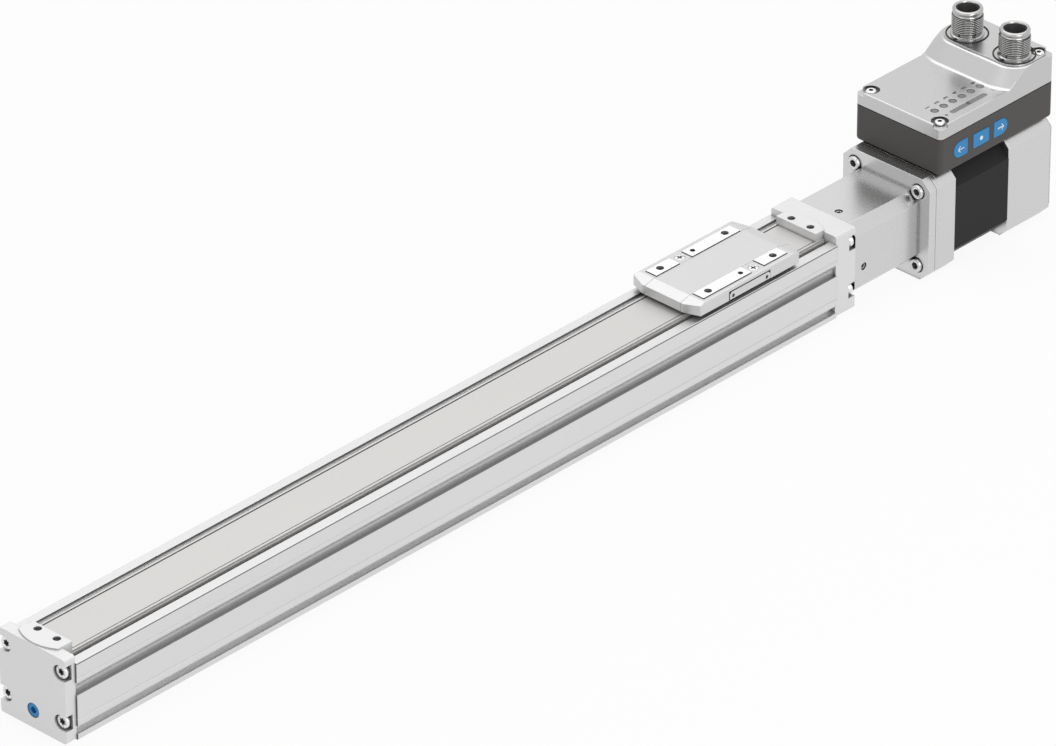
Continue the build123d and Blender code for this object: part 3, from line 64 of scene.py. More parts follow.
def makeCamera(cfg):
    azimuth, elevation = math.radians(cfg["cameraAzimuth"]), math.radians(cfg["cameraElevation"])
    flat = math.cos(elevation)
    back = Vector((math.sin(azimuth) * flat, -math.cos(azimuth) * flat, math.sin(elevation)))
    right = Vector((math.cos(azimuth), math.sin(azimuth), 0.0))
    up = back.cross(right)
    camera = bpy.data.objects.new("camera", bpy.data.cameras.new("camera"))
    camera.data.lens = cfg["lens"]
    camera.data.sensor_width = 36.0
    camera.data.sensor_fit = "HORIZONTAL"
    camera.data.clip_start = 0.1
    camera.data.clip_end = 60.0
    turn = Matrix((right, up, back)).transposed().to_4x4()
    camera.matrix_world = Matrix.Translation(Vector(cfg["cameraSpot"])) @ turn
    bpy.context.collection.objects.link(camera)
    bpy.context.scene.camera = camera


def makeLamp(name, cfg):
    data = bpy.data.lights.new(name, "AREA")
    data.shape = "RECTANGLE"
    data.size, data.size_y = cfg["size"]
    data.energy = cfg["power"]
    lamp = bpy.data.objects.new(name, data)
    lamp.location = cfg["spot"]
    lamp.rotation_euler = (Vector(cfg["aim"]) - Vector(cfg["spot"])).to_track_quat("-Z", "Y").to_euler()
    bpy.context.collection.objects.link(lamp)


def seenAsWhite(tree):
    # One where the camera, a mirror or a glass looks, so that all three see the white background
    path = tree.nodes.new("ShaderNodeLightPath")
    first = tree.nodes.new("ShaderNodeMath")
    second = tree.nodes.new("ShaderNodeMath")
    first.operation = second.operation = "MAXIMUM"
    tree.links.new(path.outputs["Is Camera Ray"], first.inputs[0])
    tree.links.new(path.outputs["Is Glossy Ray"], first.inputs[1])
    tree.links.new(first.outputs[0], second.inputs[0])
    tree.links.new(path.outputs["Is Transmission Ray"], second.inputs[1])
    return second.outputs[0]


def makeWorld(cfg):
    world = bpy.data.worlds.new("studio")
    bpy.context.scene.world = world
    world.use_nodes = True
    tree = world.node_tree
    tree.nodes.clear()
    out = tree.nodes.new("ShaderNodeOutputWorld")
    seen = tree.nodes.new("ShaderNodeBackground")
    seen.inputs["Color"].default_value = (1, 1, 1, 1)
    seen.inputs["Strength"].default_value = 1.0
    lit = tree.nodes.new("ShaderNodeBackground")
    lit.inputs["Color"].default_value = (1, 1, 1, 1)
    lit.inputs["Strength"].default_value = cfg["worldLevel"]
    mix = tree.nodes.new("ShaderNodeMixShader")
    tree.links.new(seenAsWhite(tree), mix.inputs["Fac"])
    tree.links.new(lit.outputs[0], mix.inputs[1])
    tree.links.new(seen.outputs[0], mix.inputs[2])
    tree.links.new(mix.outputs[0], out.inputs["Surface"])


def makeFloor(cfg):
    mesh = bpy.data.meshes.new("floor")
    build = bmesh.new()
    bmesh.ops.create_grid(build, x_segments=1, y_segments=1, size=30.0)
    build.to_mesh(mesh)
    build.free()
    floor = bpy.data.objects.new("floor", mesh)
    floor.location = (0, 0, cfg["floorHeight"])
    bpy.context.collection.objects.link(floor)
    paint = bpy.data.materials.new("paleFloor")
    paint.use_nodes = True
    tree = paint.node_tree
    tree.nodes.clear()
    out = tree.nodes.new("ShaderNodeOutputMaterial")
    matt = tree.nodes.new("ShaderNodeBsdfDiffuse")
    matt.inputs["Color"].default_value = cfg["floorColour"]
    white = tree.nodes.new("ShaderNodeEmission")
    white.inputs["Color"].default_value = (1, 1, 1, 1)
    white.inputs["Strength"].default_value = 1.0
    share = tree.nodes.new("ShaderNodeMath")
    share.operation = "MULTIPLY"
    share.inputs[1].default_value = cfg["floorWhite"]  # the rest stays matt and keeps the shadow
    mix = tree.nodes.new("ShaderNodeMixShader")
    tree.links.new(seenAsWhite(tree), share.inputs[0])
    tree.links.new(share.outputs[0], mix.inputs["Fac"])
    tree.links.new(matt.outputs[0], mix.inputs[1])
    tree.links.new(white.outputs[0], mix.inputs[2])
    tree.links.new(mix.outputs[0], out.inputs["Surface"])
    mesh.materials.append(paint)


makeCamera(studio)
makeWorld(studio)
makeFloor(studio)
for lampName, lampCfg in lamps.items():
    makeLamp(lampName, lampCfg)
bpy.context.scene.view_settings.view_transform = "Standard"
print("studio ready")


def addNode(tree, kind, **values):
    node = tree.nodes.new(kind)
    for key, value in values.items():
        setattr(node, key, value)
    return node


def newGroup(name, inputs, outputs):
    group = bpy.data.node_groups.new(name, "ShaderNodeTree")
    for label, kind, value in inputs:
        socket = group.interface.new_socket(name=label, in_out="INPUT", socket_type=kind)
        socket.default_value = value
    for label, kind in outputs:
        group.interface.new_socket(name=label, in_out="OUTPUT", socket_type=kind)
    return group, addNode(group, "NodeGroupInput"), addNode(group, "NodeGroupOutput")


def makeSurfaceGrain():
    # Colour and roughness drift with a fine height for blasted, rolled or moulded surfaces
    group, given, made = newGroup(
        "surfaceGrain",
        [
            ("Colour", "NodeSocketColor", (0.8, 0.8, 0.8, 1)),
            ("Drift", "NodeSocketFloat", 0.04),
            ("Roughness", "NodeSocketFloat", 0.4),
            ("Roughness Drift", "NodeSocketFloat", 0.05),
            ("Grain Size", "NodeSocketFloat", 2500.0),
            ("Stretch", "NodeSocketVector", (1.0, 1.0, 1.0)),
        ],
        [("Colour", "NodeSocketColor"), ("Roughness", "NodeSocketFloat"), ("Height", "NodeSocketFloat")],
    )
    link = group.links.new
    place = addNode(group, "ShaderNodeTexCoord")
    shape = addNode(group, "ShaderNodeVectorMath", operation="MULTIPLY")
    link(place.outputs["Object"], shape.inputs[0])
    link(given.outputs["Stretch"], shape.inputs[1])
    fine = addNode(group, "ShaderNodeTexNoise")
    fine.inputs["Detail"].default_value = 3.0
    link(shape.outputs[0], fine.inputs["Vector"])
    link(given.outputs["Grain Size"], fine.inputs["Scale"])
    cloud = addNode(group, "ShaderNodeTexNoise")
    cloud.inputs["Scale"].default_value = 28.0
    cloud.inputs["Detail"].default_value = 4.0
    link(shape.outputs[0], cloud.inputs["Vector"])
    both = addNode(group, "ShaderNodeMath", operation="ADD")
    link(fine.outputs["Fac"], both.inputs[0])
    link(cloud.outputs["Fac"], both.inputs[1])
    centred = addNode(group, "ShaderNodeMath", operation="SUBTRACT")
    centred.inputs[1].default_value = 1.0
    link(both.outputs[0], centred.inputs[0])
    tone = addNode(group, "ShaderNodeMath", operation="MULTIPLY_ADD")
    tone.inputs[2].default_value = 1.0
    link(centred.outputs[0], tone.inputs[0])
    link(given.outputs["Drift"], tone.inputs[1])
    tinted = addNode(group, "ShaderNodeVectorMath", operation="SCALE")
    link(given.outputs["Colour"], tinted.inputs[0])
    link(tone.outputs[0], tinted.inputs["Scale"])
    link(tinted.outputs[0], made.inputs["Colour"])
    rough = addNode(group, "ShaderNodeMath", operation="MULTIPLY_ADD")
    link(centred.outputs[0], rough.inputs[0])
    link(given.outputs["Roughness Drift"], rough.inputs[1])
    link(given.outputs["Roughness"], rough.inputs[2])
    link(rough.outputs[0], made.inputs["Roughness"])
    link(fine.outputs["Fac"], made.inputs["Height"])
    return group


def makeEdgeWear():
    # Every edge is shaded a little round, with a line in the edge colour along it: a painted highlight,
    # and on the profile, whose edge colour is darker, a painted shade line
    group, given, made = newGroup(
        "edgeHighlight",
        [
            ("Colour", "NodeSocketColor", (0.8, 0.8, 0.8, 1)),
            ("Edge Colour", "NodeSocketColor", (0.9, 0.9, 0.9, 1)),
            ("Width", "NodeSocketFloat", 0.0003),
            ("Amount", "NodeSocketFloat", 0.5),
        ],
        [("Colour", "NodeSocketColor"), ("Normal", "NodeSocketVector")],
    )
    link = group.links.new
    rounded = addNode(group, "ShaderNodeBevel", samples=6)
    link(given.outputs["Width"], rounded.inputs["Radius"])
    plain = addNode(group, "ShaderNodeNewGeometry")
    turn = addNode(group, "ShaderNodeVectorMath", operation="DOT_PRODUCT")
    link(rounded.outputs["Normal"], turn.inputs[0])
    link(plain.outputs["Normal"], turn.inputs[1])
    edge = addNode(group, "ShaderNodeMapRange")
    edge.inputs["From Min"].default_value = 1.0
    edge.inputs["From Max"].default_value = 0.8
    link(turn.outputs["Value"], edge.inputs["Value"])
    share = addNode(group, "ShaderNodeMath", operation="MULTIPLY")
    link(edge.outputs["Result"], share.inputs[0])
    link(given.outputs["Amount"], share.inputs[1])
    mix = addNode(group, "ShaderNodeMix", data_type="RGBA")
    link(share.outputs[0], mix.inputs["Factor"])
    link(given.outputs["Colour"], mix.inputs["A"])
    link(given.outputs["Edge Colour"], mix.inputs["B"])
    link(mix.outputs["Result"], made.inputs["Colour"])
    link(rounded.outputs["Normal"], made.inputs["Normal"])
    return group


def makeCreviceDust():
    # Painted shade: darker where surfaces meet closely, in creases, recesses and gaps
    group, given, made = newGroup(
        "creviceShade",
        [
            ("Colour", "NodeSocketColor", (0.8, 0.8, 0.8, 1)),
            ("Shade Colour", "NodeSocketColor", (0.2, 0.2, 0.2, 1)),
            ("Reach", "NodeSocketFloat", 0.002),
            ("Amount", "NodeSocketFloat", 0.4),
        ],
        [("Colour", "NodeSocketColor")],
    )
    link = group.links.new
    opening = addNode(group, "ShaderNodeAmbientOcclusion", samples=6)
    link(given.outputs["Reach"], opening.inputs["Distance"])
    shut = addNode(group, "ShaderNodeMapRange")
    shut.inputs["From Min"].default_value = 0.75
    shut.inputs["From Max"].default_value = 0.25
    link(opening.outputs["AO"], shut.inputs["Value"])
    share = addNode(group, "ShaderNodeMath", operation="MULTIPLY")
    link(shut.outputs["Result"], share.inputs[0])
    link(given.outputs["Amount"], share.inputs[1])
    mix = addNode(group, "ShaderNodeMix", data_type="RGBA")
    link(share.outputs[0], mix.inputs["Factor"])
    link(given.outputs["Colour"], mix.inputs["A"])
    link(given.outputs["Shade Colour"], mix.inputs["B"])
    link(mix.outputs["Result"], made.inputs["Colour"])
    return group


surfaceGrain = makeSurfaceGrain()
edgeHighlight = makeEdgeWear()
creviceShade = makeCreviceDust()

# In each finish, the crevice amount sets how much painted shade darkens its crevices, and the edge
# colour paints a highlight along the edges (on the profile a darker painted shade line)
finishes = {
    "anodisedProfile": dict(colour=(0.70, 0.70, 0.70), metallic=0.75, rough=0.33, drift=0.02,
                            size=900, reach=0.0025, stretch=(0.004, 1, 1), bump=0.05,
                            edge=(0.60, 0.60, 0.61), edgeAmount=0.5, paintedShade=0.3),
    "anodisedTable": dict(colour=(0.645, 0.645, 0.645), metallic=0.6, rough=0.36, drift=0.025,
                          size=2600, reach=0.0025, bump=0.06, edge=(0.88, 0.88, 0.88),
                          edgeAmount=0.5, paintedShade=0.85),
    "blastedAluminium": dict(colour=(0.74, 0.74, 0.74), metallic=0.5, rough=0.45, drift=0.04,
                             size=2400, reach=0.0025, bump=0.12, edge=(0.90, 0.90, 0.90),
                             edgeAmount=0.6, paintedShade=0.9),
    "turnedAluminium": dict(colour=(0.62, 0.62, 0.62), metallic=1.0, rough=0.27, drift=0.015,
                            size=2400, reach=0.0025, bump=0.008, edge=(0.82, 0.82, 0.82),
                            edgeAmount=0.6, paintedShade=0.9),
    "dieCast": dict(colour=(0.54, 0.54, 0.54), metallic=1.0, rough=0.28, drift=0.015, size=1900,
                    reach=0.0025, bump=0.01, edge=(0.86, 0.86, 0.86), edgeAmount=0.4, paintedShade=0.95),
    "steelBand": dict(colour=(0.655, 0.645, 0.63), metallic=0.35, rough=0.32, drift=0.01, size=900,
                      reach=0.0012, bump=0.003, edge=(0.90, 0.90, 0.88), edgeAmount=0.2, paintedShade=0.1,
                      edgeWidth=0.00004),
    "hardenedSteel": dict(colour=(0.50, 0.50, 0.51), metallic=1.0, rough=0.25, drift=0.05,
                          size=1500, bump=0.03, edge=(0.75, 0.75, 0.75), edgeAmount=0.4, paintedShade=0.5),
    "zincScrew": dict(colour=(0.66, 0.66, 0.67), metallic=0.9, rough=0.24, drift=0.08, size=1800,
                      bump=0.05, edge=(0.9, 0.9, 0.9), edgeAmount=0.6, paintedShade=0.8),
    "brightScrew": dict(colour=(0.86, 0.86, 0.86), metallic=0.6, rough=0.30, drift=0.05, size=1800,
                        bump=0.05, edge=(0.9, 0.9, 0.9), edgeAmount=0.6, paintedShade=0.9),
    "darkScrew": dict(colour=(0.11, 0.11, 0.11), metallic=0.7, rough=0.35, drift=0.1, size=1800,
                      bump=0.05, edge=(0.3, 0.3, 0.3), edgeAmount=0.4, paintedShade=0.9),
    "nickel": dict(colour=(0.46, 0.455, 0.45), metallic=1.0, rough=0.2, drift=0.04, size=1600,
                   edgeWidth=0.00003, bump=0.02, edge=(0.72, 0.72, 0.71), edgeAmount=0.3,
                   paintedShade=0.95),
    # Near-black painted shade for the insides of recesses and thread valleys
    "recessShade": dict(colour=(0.022, 0.022, 0.022), metallic=0.3, rough=0.5, drift=0.05, size=1800,
                       edgeWidth=0.00003, bump=0.02, edge=(0.03, 0.03, 0.03), edgeAmount=0.1,
                       paintedShade=0.5),
    "goldContact": dict(colour=(0.85, 0.66, 0.32), metallic=1.0, rough=0.22, drift=0.03, size=1500,
                        bump=0.02, edge=(0.95, 0.8, 0.5), edgeAmount=0.3, paintedShade=0.3),
    "blackLaminations": dict(colour=(0.014, 0.014, 0.014), metallic=0.0, specular=0.2, rough=0.55,
                             drift=0.12, size=1600, bump=0.1, edge=(0.10, 0.10, 0.10),
                             edgeAmount=0.5, paintedShade=0.3),
    "copperWire": dict(colour=(0.60, 0.28, 0.13), metallic=0.9, rough=0.35, drift=0.1, size=1500,
                       stretch=(1, 1, 0.2), bump=0.2, edge=(0.7, 0.35, 0.2), edgeAmount=0.3,
                       paintedShade=0.3),
    "greyPlastic": dict(colour=(0.054, 0.049, 0.046), metallic=0.0, rough=0.55, drift=0.1,
                        size=2600, bump=0.2, edge=(0.12, 0.115, 0.11), edgeAmount=0.5, paintedShade=0.3),
    "whitePlastic": dict(colour=(0.75, 0.75, 0.75), metallic=0.0, rough=0.5, drift=0.03, size=1800,
                         bump=0.1, edge=(0.85, 0.85, 0.85), edgeAmount=0.3, paintedShade=0.3),
    "bluePlastic": dict(colour=(0.010, 0.225, 0.52), metallic=0.0, rough=0.45, drift=0.05,
                        size=2600, bump=0.08, edge=(0.05, 0.33, 0.62), edgeAmount=0.5, paintedShade=0.3),
    "blackRubber": dict(colour=(0.020, 0.020, 0.020), metallic=0.0, rough=0.65, drift=0.1,
                        size=1800, bump=0.2, edge=(0.05, 0.05, 0.05), edgeAmount=0.3, paintedShade=0.2),
    "lampWindow": dict(colour=(0.22, 0.22, 0.22), metallic=0.0, rough=0.35, drift=0.35, size=2200,
                       bump=0.05, edge=(0.2, 0.2, 0.2), edgeAmount=0.8, paintedShade=0.5),
    "boardGreen": dict(colour=(0.03, 0.18, 0.08), metallic=0.0, rough=0.4, drift=0.08, size=1200,
                       bump=0.05, edge=(0.3, 0.3, 0.2), edgeAmount=0.3, paintedShade=0.3),
    "lampRim": dict(colour=(0.10, 0.10, 0.10), metallic=0.0, rough=0.45, drift=0.1, size=1800,
                    bump=0.05, edge=(0.14, 0.14, 0.14), edgeAmount=0.3, paintedShade=0.3),
    "whiteInk": dict(colour=(0.95, 0.96, 0.97), metallic=0.0, rough=0.5, drift=0.03, size=1800,
                     edgeWidth=0.00001, bump=0.05, edge=(0.9, 0.9, 0.9), edgeAmount=0.2, paintedShade=0.0),
    # Black ink for the printed signs, also used as painted shade for the thin shade sheets
    "blackPrintAndShade": dict(colour=(0.02, 0.02, 0.02), metallic=0.0, rough=0.5, drift=0.05, size=1800,
                     edgeWidth=0.00001, bump=0.05, edge=(0.03, 0.03, 0.03), edgeAmount=0.2,
                     paintedShade=0.0),
}


finishBasics = {"stretch": (1, 1, 1), "specular": 0.5, "reach": 0.0012, "edgeWidth": 0.0003}
finishShared = {"roughDrift": 0.04, "shadeShare": 0.06, "reliefDepth": 0.0002}


def makeFinish(name, cfg):
    cfg = {**finishBasics, **cfg}
    paint = bpy.data.materials.new(name)
    paint.use_nodes = True
    tree = paint.node_tree
    shader = tree.nodes["Principled BSDF"]
    shader.inputs["Metallic"].default_value = cfg["metallic"]
    shader.inputs["Specular IOR Level"].default_value = cfg["specular"]
    grain = addNode(tree, "ShaderNodeGroup", node_tree=surfaceGrain, name="grain")
    grain.inputs["Colour"].default_value = (*cfg["colour"], 1)
    grain.inputs["Drift"].default_value = cfg["drift"]
    grain.inputs["Roughness"].default_value = cfg["rough"]
    grain.inputs["Roughness Drift"].default_value = finishShared["roughDrift"]
    grain.inputs["Grain Size"].default_value = cfg["size"]
    grain.inputs["Stretch"].default_value = cfg["stretch"]
    # The crevice group paints shade into the colour where the surface is occluded
    paintedShade = addNode(tree, "ShaderNodeGroup", node_tree=creviceShade, name="paintedShade")
    shadeTone = [part * finishShared["shadeShare"] for part in cfg["colour"]]
    paintedShade.inputs["Shade Colour"].default_value = (*shadeTone, 1)
    paintedShade.inputs["Reach"].default_value = cfg["reach"]
    paintedShade.inputs["Amount"].default_value = cfg["paintedShade"]
    # The edge group paints a highlight along the edges in the edge colour
    edgeLight = addNode(tree, "ShaderNodeGroup", node_tree=edgeHighlight, name="edgeLight")
    edgeLight.inputs["Edge Colour"].default_value = (*cfg["edge"], 1)
    edgeLight.inputs["Width"].default_value = cfg["edgeWidth"]
    edgeLight.inputs["Amount"].default_value = cfg["edgeAmount"]
    bump = addNode(tree, "ShaderNodeBump", name="relief")
    bump.inputs["Strength"].default_value = cfg["bump"]
    bump.inputs["Distance"].default_value = finishShared["reliefDepth"]
    link = tree.links.new
    link(grain.outputs["Colour"], edgeLight.inputs["Colour"])
    link(edgeLight.outputs["Colour"], paintedShade.inputs["Colour"])
    link(paintedShade.outputs["Colour"], shader.inputs["Base Color"])
    link(grain.outputs["Roughness"], shader.inputs["Roughness"])
    link(grain.outputs["Height"], bump.inputs["Height"])
    link(edgeLight.outputs["Normal"], bump.inputs["Normal"])
    link(bump.outputs["Normal"], shader.inputs["Normal"])
    return paint


def addMark(paint, colour, mask):
    # Lays a second colour over a finish where the mask is one
    tree = paint.node_tree
    shader = tree.nodes["Principled BSDF"]
    mix = addNode(tree, "ShaderNodeMix", data_type="RGBA")
    mix.inputs["B"].default_value = (*colour, 1)
    tree.links.new(shader.inputs["Base Color"].links[0].from_socket, mix.inputs["A"])
    tree.links.new(mask, mix.inputs["Factor"])
    tree.links.new(mix.outputs["Result"], shader.inputs["Base Color"])


def absolute(tree, value):
    node = addNode(tree, "ShaderNodeMath", operation="ABSOLUTE")
    tree.links.new(value, node.inputs[0])
    return node.outputs[0]


def times(tree, first, second):
    node = addNode(tree, "ShaderNodeMath", operation="MULTIPLY")
    tree.links.new(first, node.inputs[0])
    tree.links.new(second, node.inputs[1])
    return node.outputs[0]


def between(tree, value, low, high, soft):
    # One between two values, with soft ends
    rise = addNode(tree, "ShaderNodeMapRange")
    rise.inputs["From Min"].default_value = low - soft
    rise.inputs["From Max"].default_value = low + soft
    fall = addNode(tree, "ShaderNodeMapRange")
    fall.inputs["From Min"].default_value = high + soft
    fall.inputs["From Max"].default_value = high - soft
    tree.links.new(value, rise.inputs["Value"])
    tree.links.new(value, fall.inputs["Value"])
    return times(tree, rise.outputs["Result"], fall.outputs["Result"])


def axisOf(tree, output, axis):
    place = addNode(tree, "ShaderNodeTexCoord")
    split = addNode(tree, "ShaderNodeSeparateXYZ")
    tree.links.new(place.outputs[output], split.inputs[0])
    return split.outputs[axis]


paints = {name: makeFinish(name, cfg) for name, cfg in finishes.items()}

# The profile's end faces are painted darker than its sides: painted shade in the gap where the end
# covers meet them
endFaceShade = {"colour": (0.16, 0.16, 0.165), "least": 0.9, "soft": 0.02}
profilePaint = paints["anodisedProfile"]
profileTree = profilePaint.node_tree
lengthways = absolute(profileTree, axisOf(profileTree, "Normal", "X"))
addMark(profilePaint, endFaceShade["colour"],
        between(profileTree, lengthways, endFaceShade["least"], 2.0, endFaceShade["soft"]))

# Painted shade in the side grooves and the top slots, a painted highlight on the grooves' upper slopes,
# and a fine dark line along the upper edges
profileShades = [
    {"colour": (0.90, 0.90, 0.905), "low": 0.0204, "high": 0.0229, "from": -1.0, "to": 0.0165},
    {"colour": (0.52, 0.52, 0.525), "low": 0.0180, "high": 0.0204, "from": -1.0, "to": 0.0165},
    {"colour": (0.27, 0.27, 0.275), "low": 0.0170, "high": 0.0180, "from": -1.0, "to": 0.0165},
    {"colour": (0.18, 0.18, 0.185), "low": 0.0042, "high": 0.0054, "from": -1.0, "to": 0.0165},
    {"colour": (0.15, 0.15, 0.155), "low": 0.0302, "high": 0.0308, "from": 0.01650, "to": 1.0},
    {"colour": (0.13, 0.13, 0.135), "low": 0.0300, "high": 0.0306, "from": 0.01240, "to": 0.01265},
    {"colour": (0.36, 0.36, 0.365), "low": 0.0100, "high": 0.0300, "from": 0.01240, "to": 0.01265},
]
profileSoft = {"height": 0.00005, "depth": 0.00004}
sideways = absolute(profileTree, axisOf(profileTree, "Object", "Y"))
for shade in profileShades:
    height = axisOf(profileTree, "Object", "Z")
    upward = between(profileTree, height, shade["low"], shade["high"], profileSoft["height"])
    inward = between(profileTree, sideways, shade["from"], shade["to"], profileSoft["depth"])
    addMark(profilePaint, shade["colour"], times(profileTree, upward, inward))

# Painted shade lines between the cover band and its rims, where a narrow groove lies in shadow
bandShadeLines = {"colour": (0.05, 0.05, 0.05), "inner": 0.00855, "outer": 0.00905, "soft": 0.00003}
bandTree = paints["steelBand"].node_tree
outward = absolute(bandTree, axisOf(bandTree, "Object", "Y"))
addMark(paints["steelBand"], bandShadeLines["colour"],
        between(bandTree, outward, bandShadeLines["inner"], bandShadeLines["outer"], bandShadeLines["soft"]))

# The machined pads on the table are brighter, their low sides and the table's underside in shade
padMark = {"colour": (0.90, 0.90, 0.905), "shade": (0.05, 0.05, 0.05), "rise": 0.0003,
           "topShare": 0.1, "sideLow": 0.93, "sideHigh": 0.12, "topSoft": 0.00002, "sideSoft": 0.00001}
underside = {"least": -0.9, "soft": 0.02}
tablePaint = paints["anodisedTable"]
tableTree = tablePaint.node_tree
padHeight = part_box("carriage_table")[1][2]
tableUp = axisOf(tableTree, "Object", "Z")
padTop = between(tableTree, tableUp, padHeight - padMark["rise"] * padMark["topShare"], 1.0,
                 padMark["topSoft"])
padSide = between(tableTree, tableUp, padHeight - padMark["rise"] * padMark["sideLow"],
                  padHeight - padMark["rise"] * padMark["sideHigh"], padMark["sideSoft"])
facingDown = between(tableTree, axisOf(tableTree, "Normal", "Z"), -2.0, underside["least"],
                     underside["soft"])
addMark(tablePaint, padMark["colour"], padTop)
addMark(tablePaint, padMark["shade"], padSide)
addMark(tablePaint, padMark["shade"], facingDown)

# Dark seams where the motor's pieces meet
seams = {"colour": (0.07, 0.07, 0.07), "half": 0.00009, "soft": 0.00002,
         "nodes": ("motor_front_bell", "motor_rear_plate")}
motorPaint = paints["turnedAluminium"]
motorTree = motorPaint.node_tree
for name in seams["nodes"]:
    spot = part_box(name)[0][0]
    addMark(motorPaint, seams["colour"],
            between(motorTree, axisOf(motorTree, "Object", "X"), spot - seams["half"],
                    spot + seams["half"], seams["soft"]))

# Fine lines between the stator's sheets
sheets = {"pitch": 0.0005, "depth": 0.35, "waveFactor": 20}
statorTree = paints["blackLaminations"].node_tree
lines = addNode(statorTree, "ShaderNodeTexWave", wave_type="BANDS", bands_direction="X")
lines.inputs["Scale"].default_value = 2 * math.pi / (sheets["waveFactor"] * sheets["pitch"])
place = addNode(statorTree, "ShaderNodeTexCoord")
statorTree.links.new(place.outputs["Object"], lines.inputs["Vector"])
layered = addNode(statorTree, "ShaderNodeMath", operation="MULTIPLY_ADD")
layered.inputs[1].default_value = sheets["depth"]
statorTree.links.new(lines.outputs["Fac"], layered.inputs[0])
statorTree.links.new(statorTree.nodes["grain"].outputs["Height"], layered.inputs[2])
statorTree.links.new(layered.outputs[0], statorTree.nodes["relief"].inputs["Height"])

finishOf = {
    "anodisedProfile": ["profile"],
    "anodisedTable": ["carriage_table", "centre_cover", "side_inlays"],
    "blastedAluminium": ["front_cover", "drive_cover", "coupling_hub_screw", "coupling_hub_motor"],
    "turnedAluminium": ["coupling_housing", "motor_front_bell", "motor_rear_housing",
                        "motor_rear_plate"],
    "dieCast": ["controller_cover"],
    "steelBand": ["cover_band"],
    "hardenedSteel": ["guide_rail", "rail_screws", "ball_screw", "bearing_inner_rings",
                      "bearing_outer_rings", "bearing_retainer", "lock_nut", "motor_shaft", "saddle",
                      "ball_nut", "guide_runners"],
    "zincScrew": ["base_screws", "nut_set_screws"],
    "goldContact": ["connector_pins"],
    "blackLaminations": ["motor_stator", "motor_rotor", "encoder_magnet"],
    "copperWire": ["motor_windings"],
    "greyPlastic": ["controller_base", "key_switches"],
    "whitePlastic": ["nut_end_caps"],
    "bluePlastic": ["port_plug", "button_back", "button_select", "button_next"],
    "blackRubber": ["cover_gasket", "coupling_spider", "connector_inserts"],
    "lampWindow": ["status_lamps", "level_lamps"],
    "boardGreen": ["encoder_board", "circuit_board"],
}
for finish, names in finishOf.items():
    for name in names:
        mesh = nodes[name].data
        mesh.materials.clear()
        mesh.materials.append(paints[finish])
print("finishes given")

# Turned and printed pieces

mm = 0.001
turns = {way: Matrix.Rotation(math.radians(angle), 4, axis) for way, angle, axis in (
    ("x", 90, "Y"), ("-x", -90, "Y"), ("y", -90, "X"), ("-y", 90, "X"), ("z", 0, "X"), ("-z", 180, "X"))}


def addTurned(build, rings, place, count=48, closed=False, shadeFrom=None):
    # A turned form in millimetres: each ring is a radius, or a radius for each angle, and a height.
    # From the ring shadeFrom on, its faces take the piece's second material, the painted recess shade
    loops = []
    for radius, height in rings:
        loop = []
        for i in range(count):
            angle = 2 * math.pi * i / count
            reach = (radius(angle) if callable(radius) else radius) * mm
            spot = Vector((reach * math.cos(angle), reach * math.sin(angle), height * mm))
            loop.append(build.verts.new(place @ spot))
        loops.append(loop)
    pairs = list(zip(loops, loops[1:]))
    if closed:
        pairs.append((loops[-1], loops[0]))
    else:
        build.faces.new(list(reversed(loops[0])))
        build.faces.new(loops[-1]).material_index = int(shadeFrom is not None)
    for step, (lower, upper) in enumerate(pairs):
        for i in range(count):
            j = (i + 1) % count
            face = build.faces.new((lower[i], lower[j], upper[j], upper[i]))
            face.material_index = int(shadeFrom is not None and step >= shadeFrom)


def addPlate(build, outline, place, low, high):
    # A flat plate from its outline, in millimetres
    base = [build.verts.new(place @ Vector((x * mm, y * mm, low * mm))) for x, y in outline]
    top = [build.verts.new(place @ Vector((x * mm, y * mm, high * mm))) for x, y in outline]
    build.faces.new(list(reversed(base)))
    build.faces.new(top)
    for i in range(len(base)):
        j = (i + 1) % len(base)
        build.faces.new((base[i], base[j], top[j], top[i]))


def finishPiece(build, name, finish, body, replaced=(), smoothBelow=35):
    for edge in build.edges:
        edge.smooth = edge.calc_face_angle(0.0) < math.radians(smoothBelow)
    for face in build.faces:
        face.smooth = True
    mesh = bpy.data.meshes.new(name)
    build.to_mesh(mesh)
    build.free()
    mesh.materials.append(paints[finish])
    # Faces marked dark take the painted recess shade as a second material
    if any(part.material_index for part in mesh.polygons):
        mesh.materials.append(paints["recessShade"])
    piece = bpy.data.objects.new(name, mesh)
    bpy.context.collection.objects.link(piece)
    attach(piece, body)
    if replaced:
        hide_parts(*replaced)


def sixLobed(reach):
    return lambda angle: reach * (0.86 + 0.14 * math.cos(6 * angle))


def hexagon(flat):
    return lambda angle: flat / math.cos((angle + math.pi / 6) % (math.pi / 3) - math.pi / 6)


def cross(arm, half):
    def radius(angle):
        near = (angle + math.pi / 4) % (math.pi / 2) - math.pi / 4
        inArm = abs(math.tan(near)) * arm < half
        return arm / math.cos(near) if inArm else half / abs(math.sin(near))
    return radius


def knurled(reach, depth=0.12, teeth=30):
    return lambda angle: reach - depth * (0.5 + 0.5 * math.cos(teeth * angle))


def makeScrews(name, node, cfg, places, body="base"):
    # A screw's rings run from its tip to its face at height zero and down into the recess
    build = bmesh.new()
    face = cfg["profile"][-1][1]
    rings = cfg["profile"] + [(cfg["recess"], face), (cfg["recess"], face - cfg["recessDepth"])]
    for spot, way in places:
        place = Matrix.Translation(spot) @ turns[way]
        # The recess's wall and floor take the painted recess shade
        addTurned(build, rings, place, cfg.get("count", 48), shadeFrom=len(rings) - 2)
    finishPiece(build, name, cfg["finish"], body, (node,))


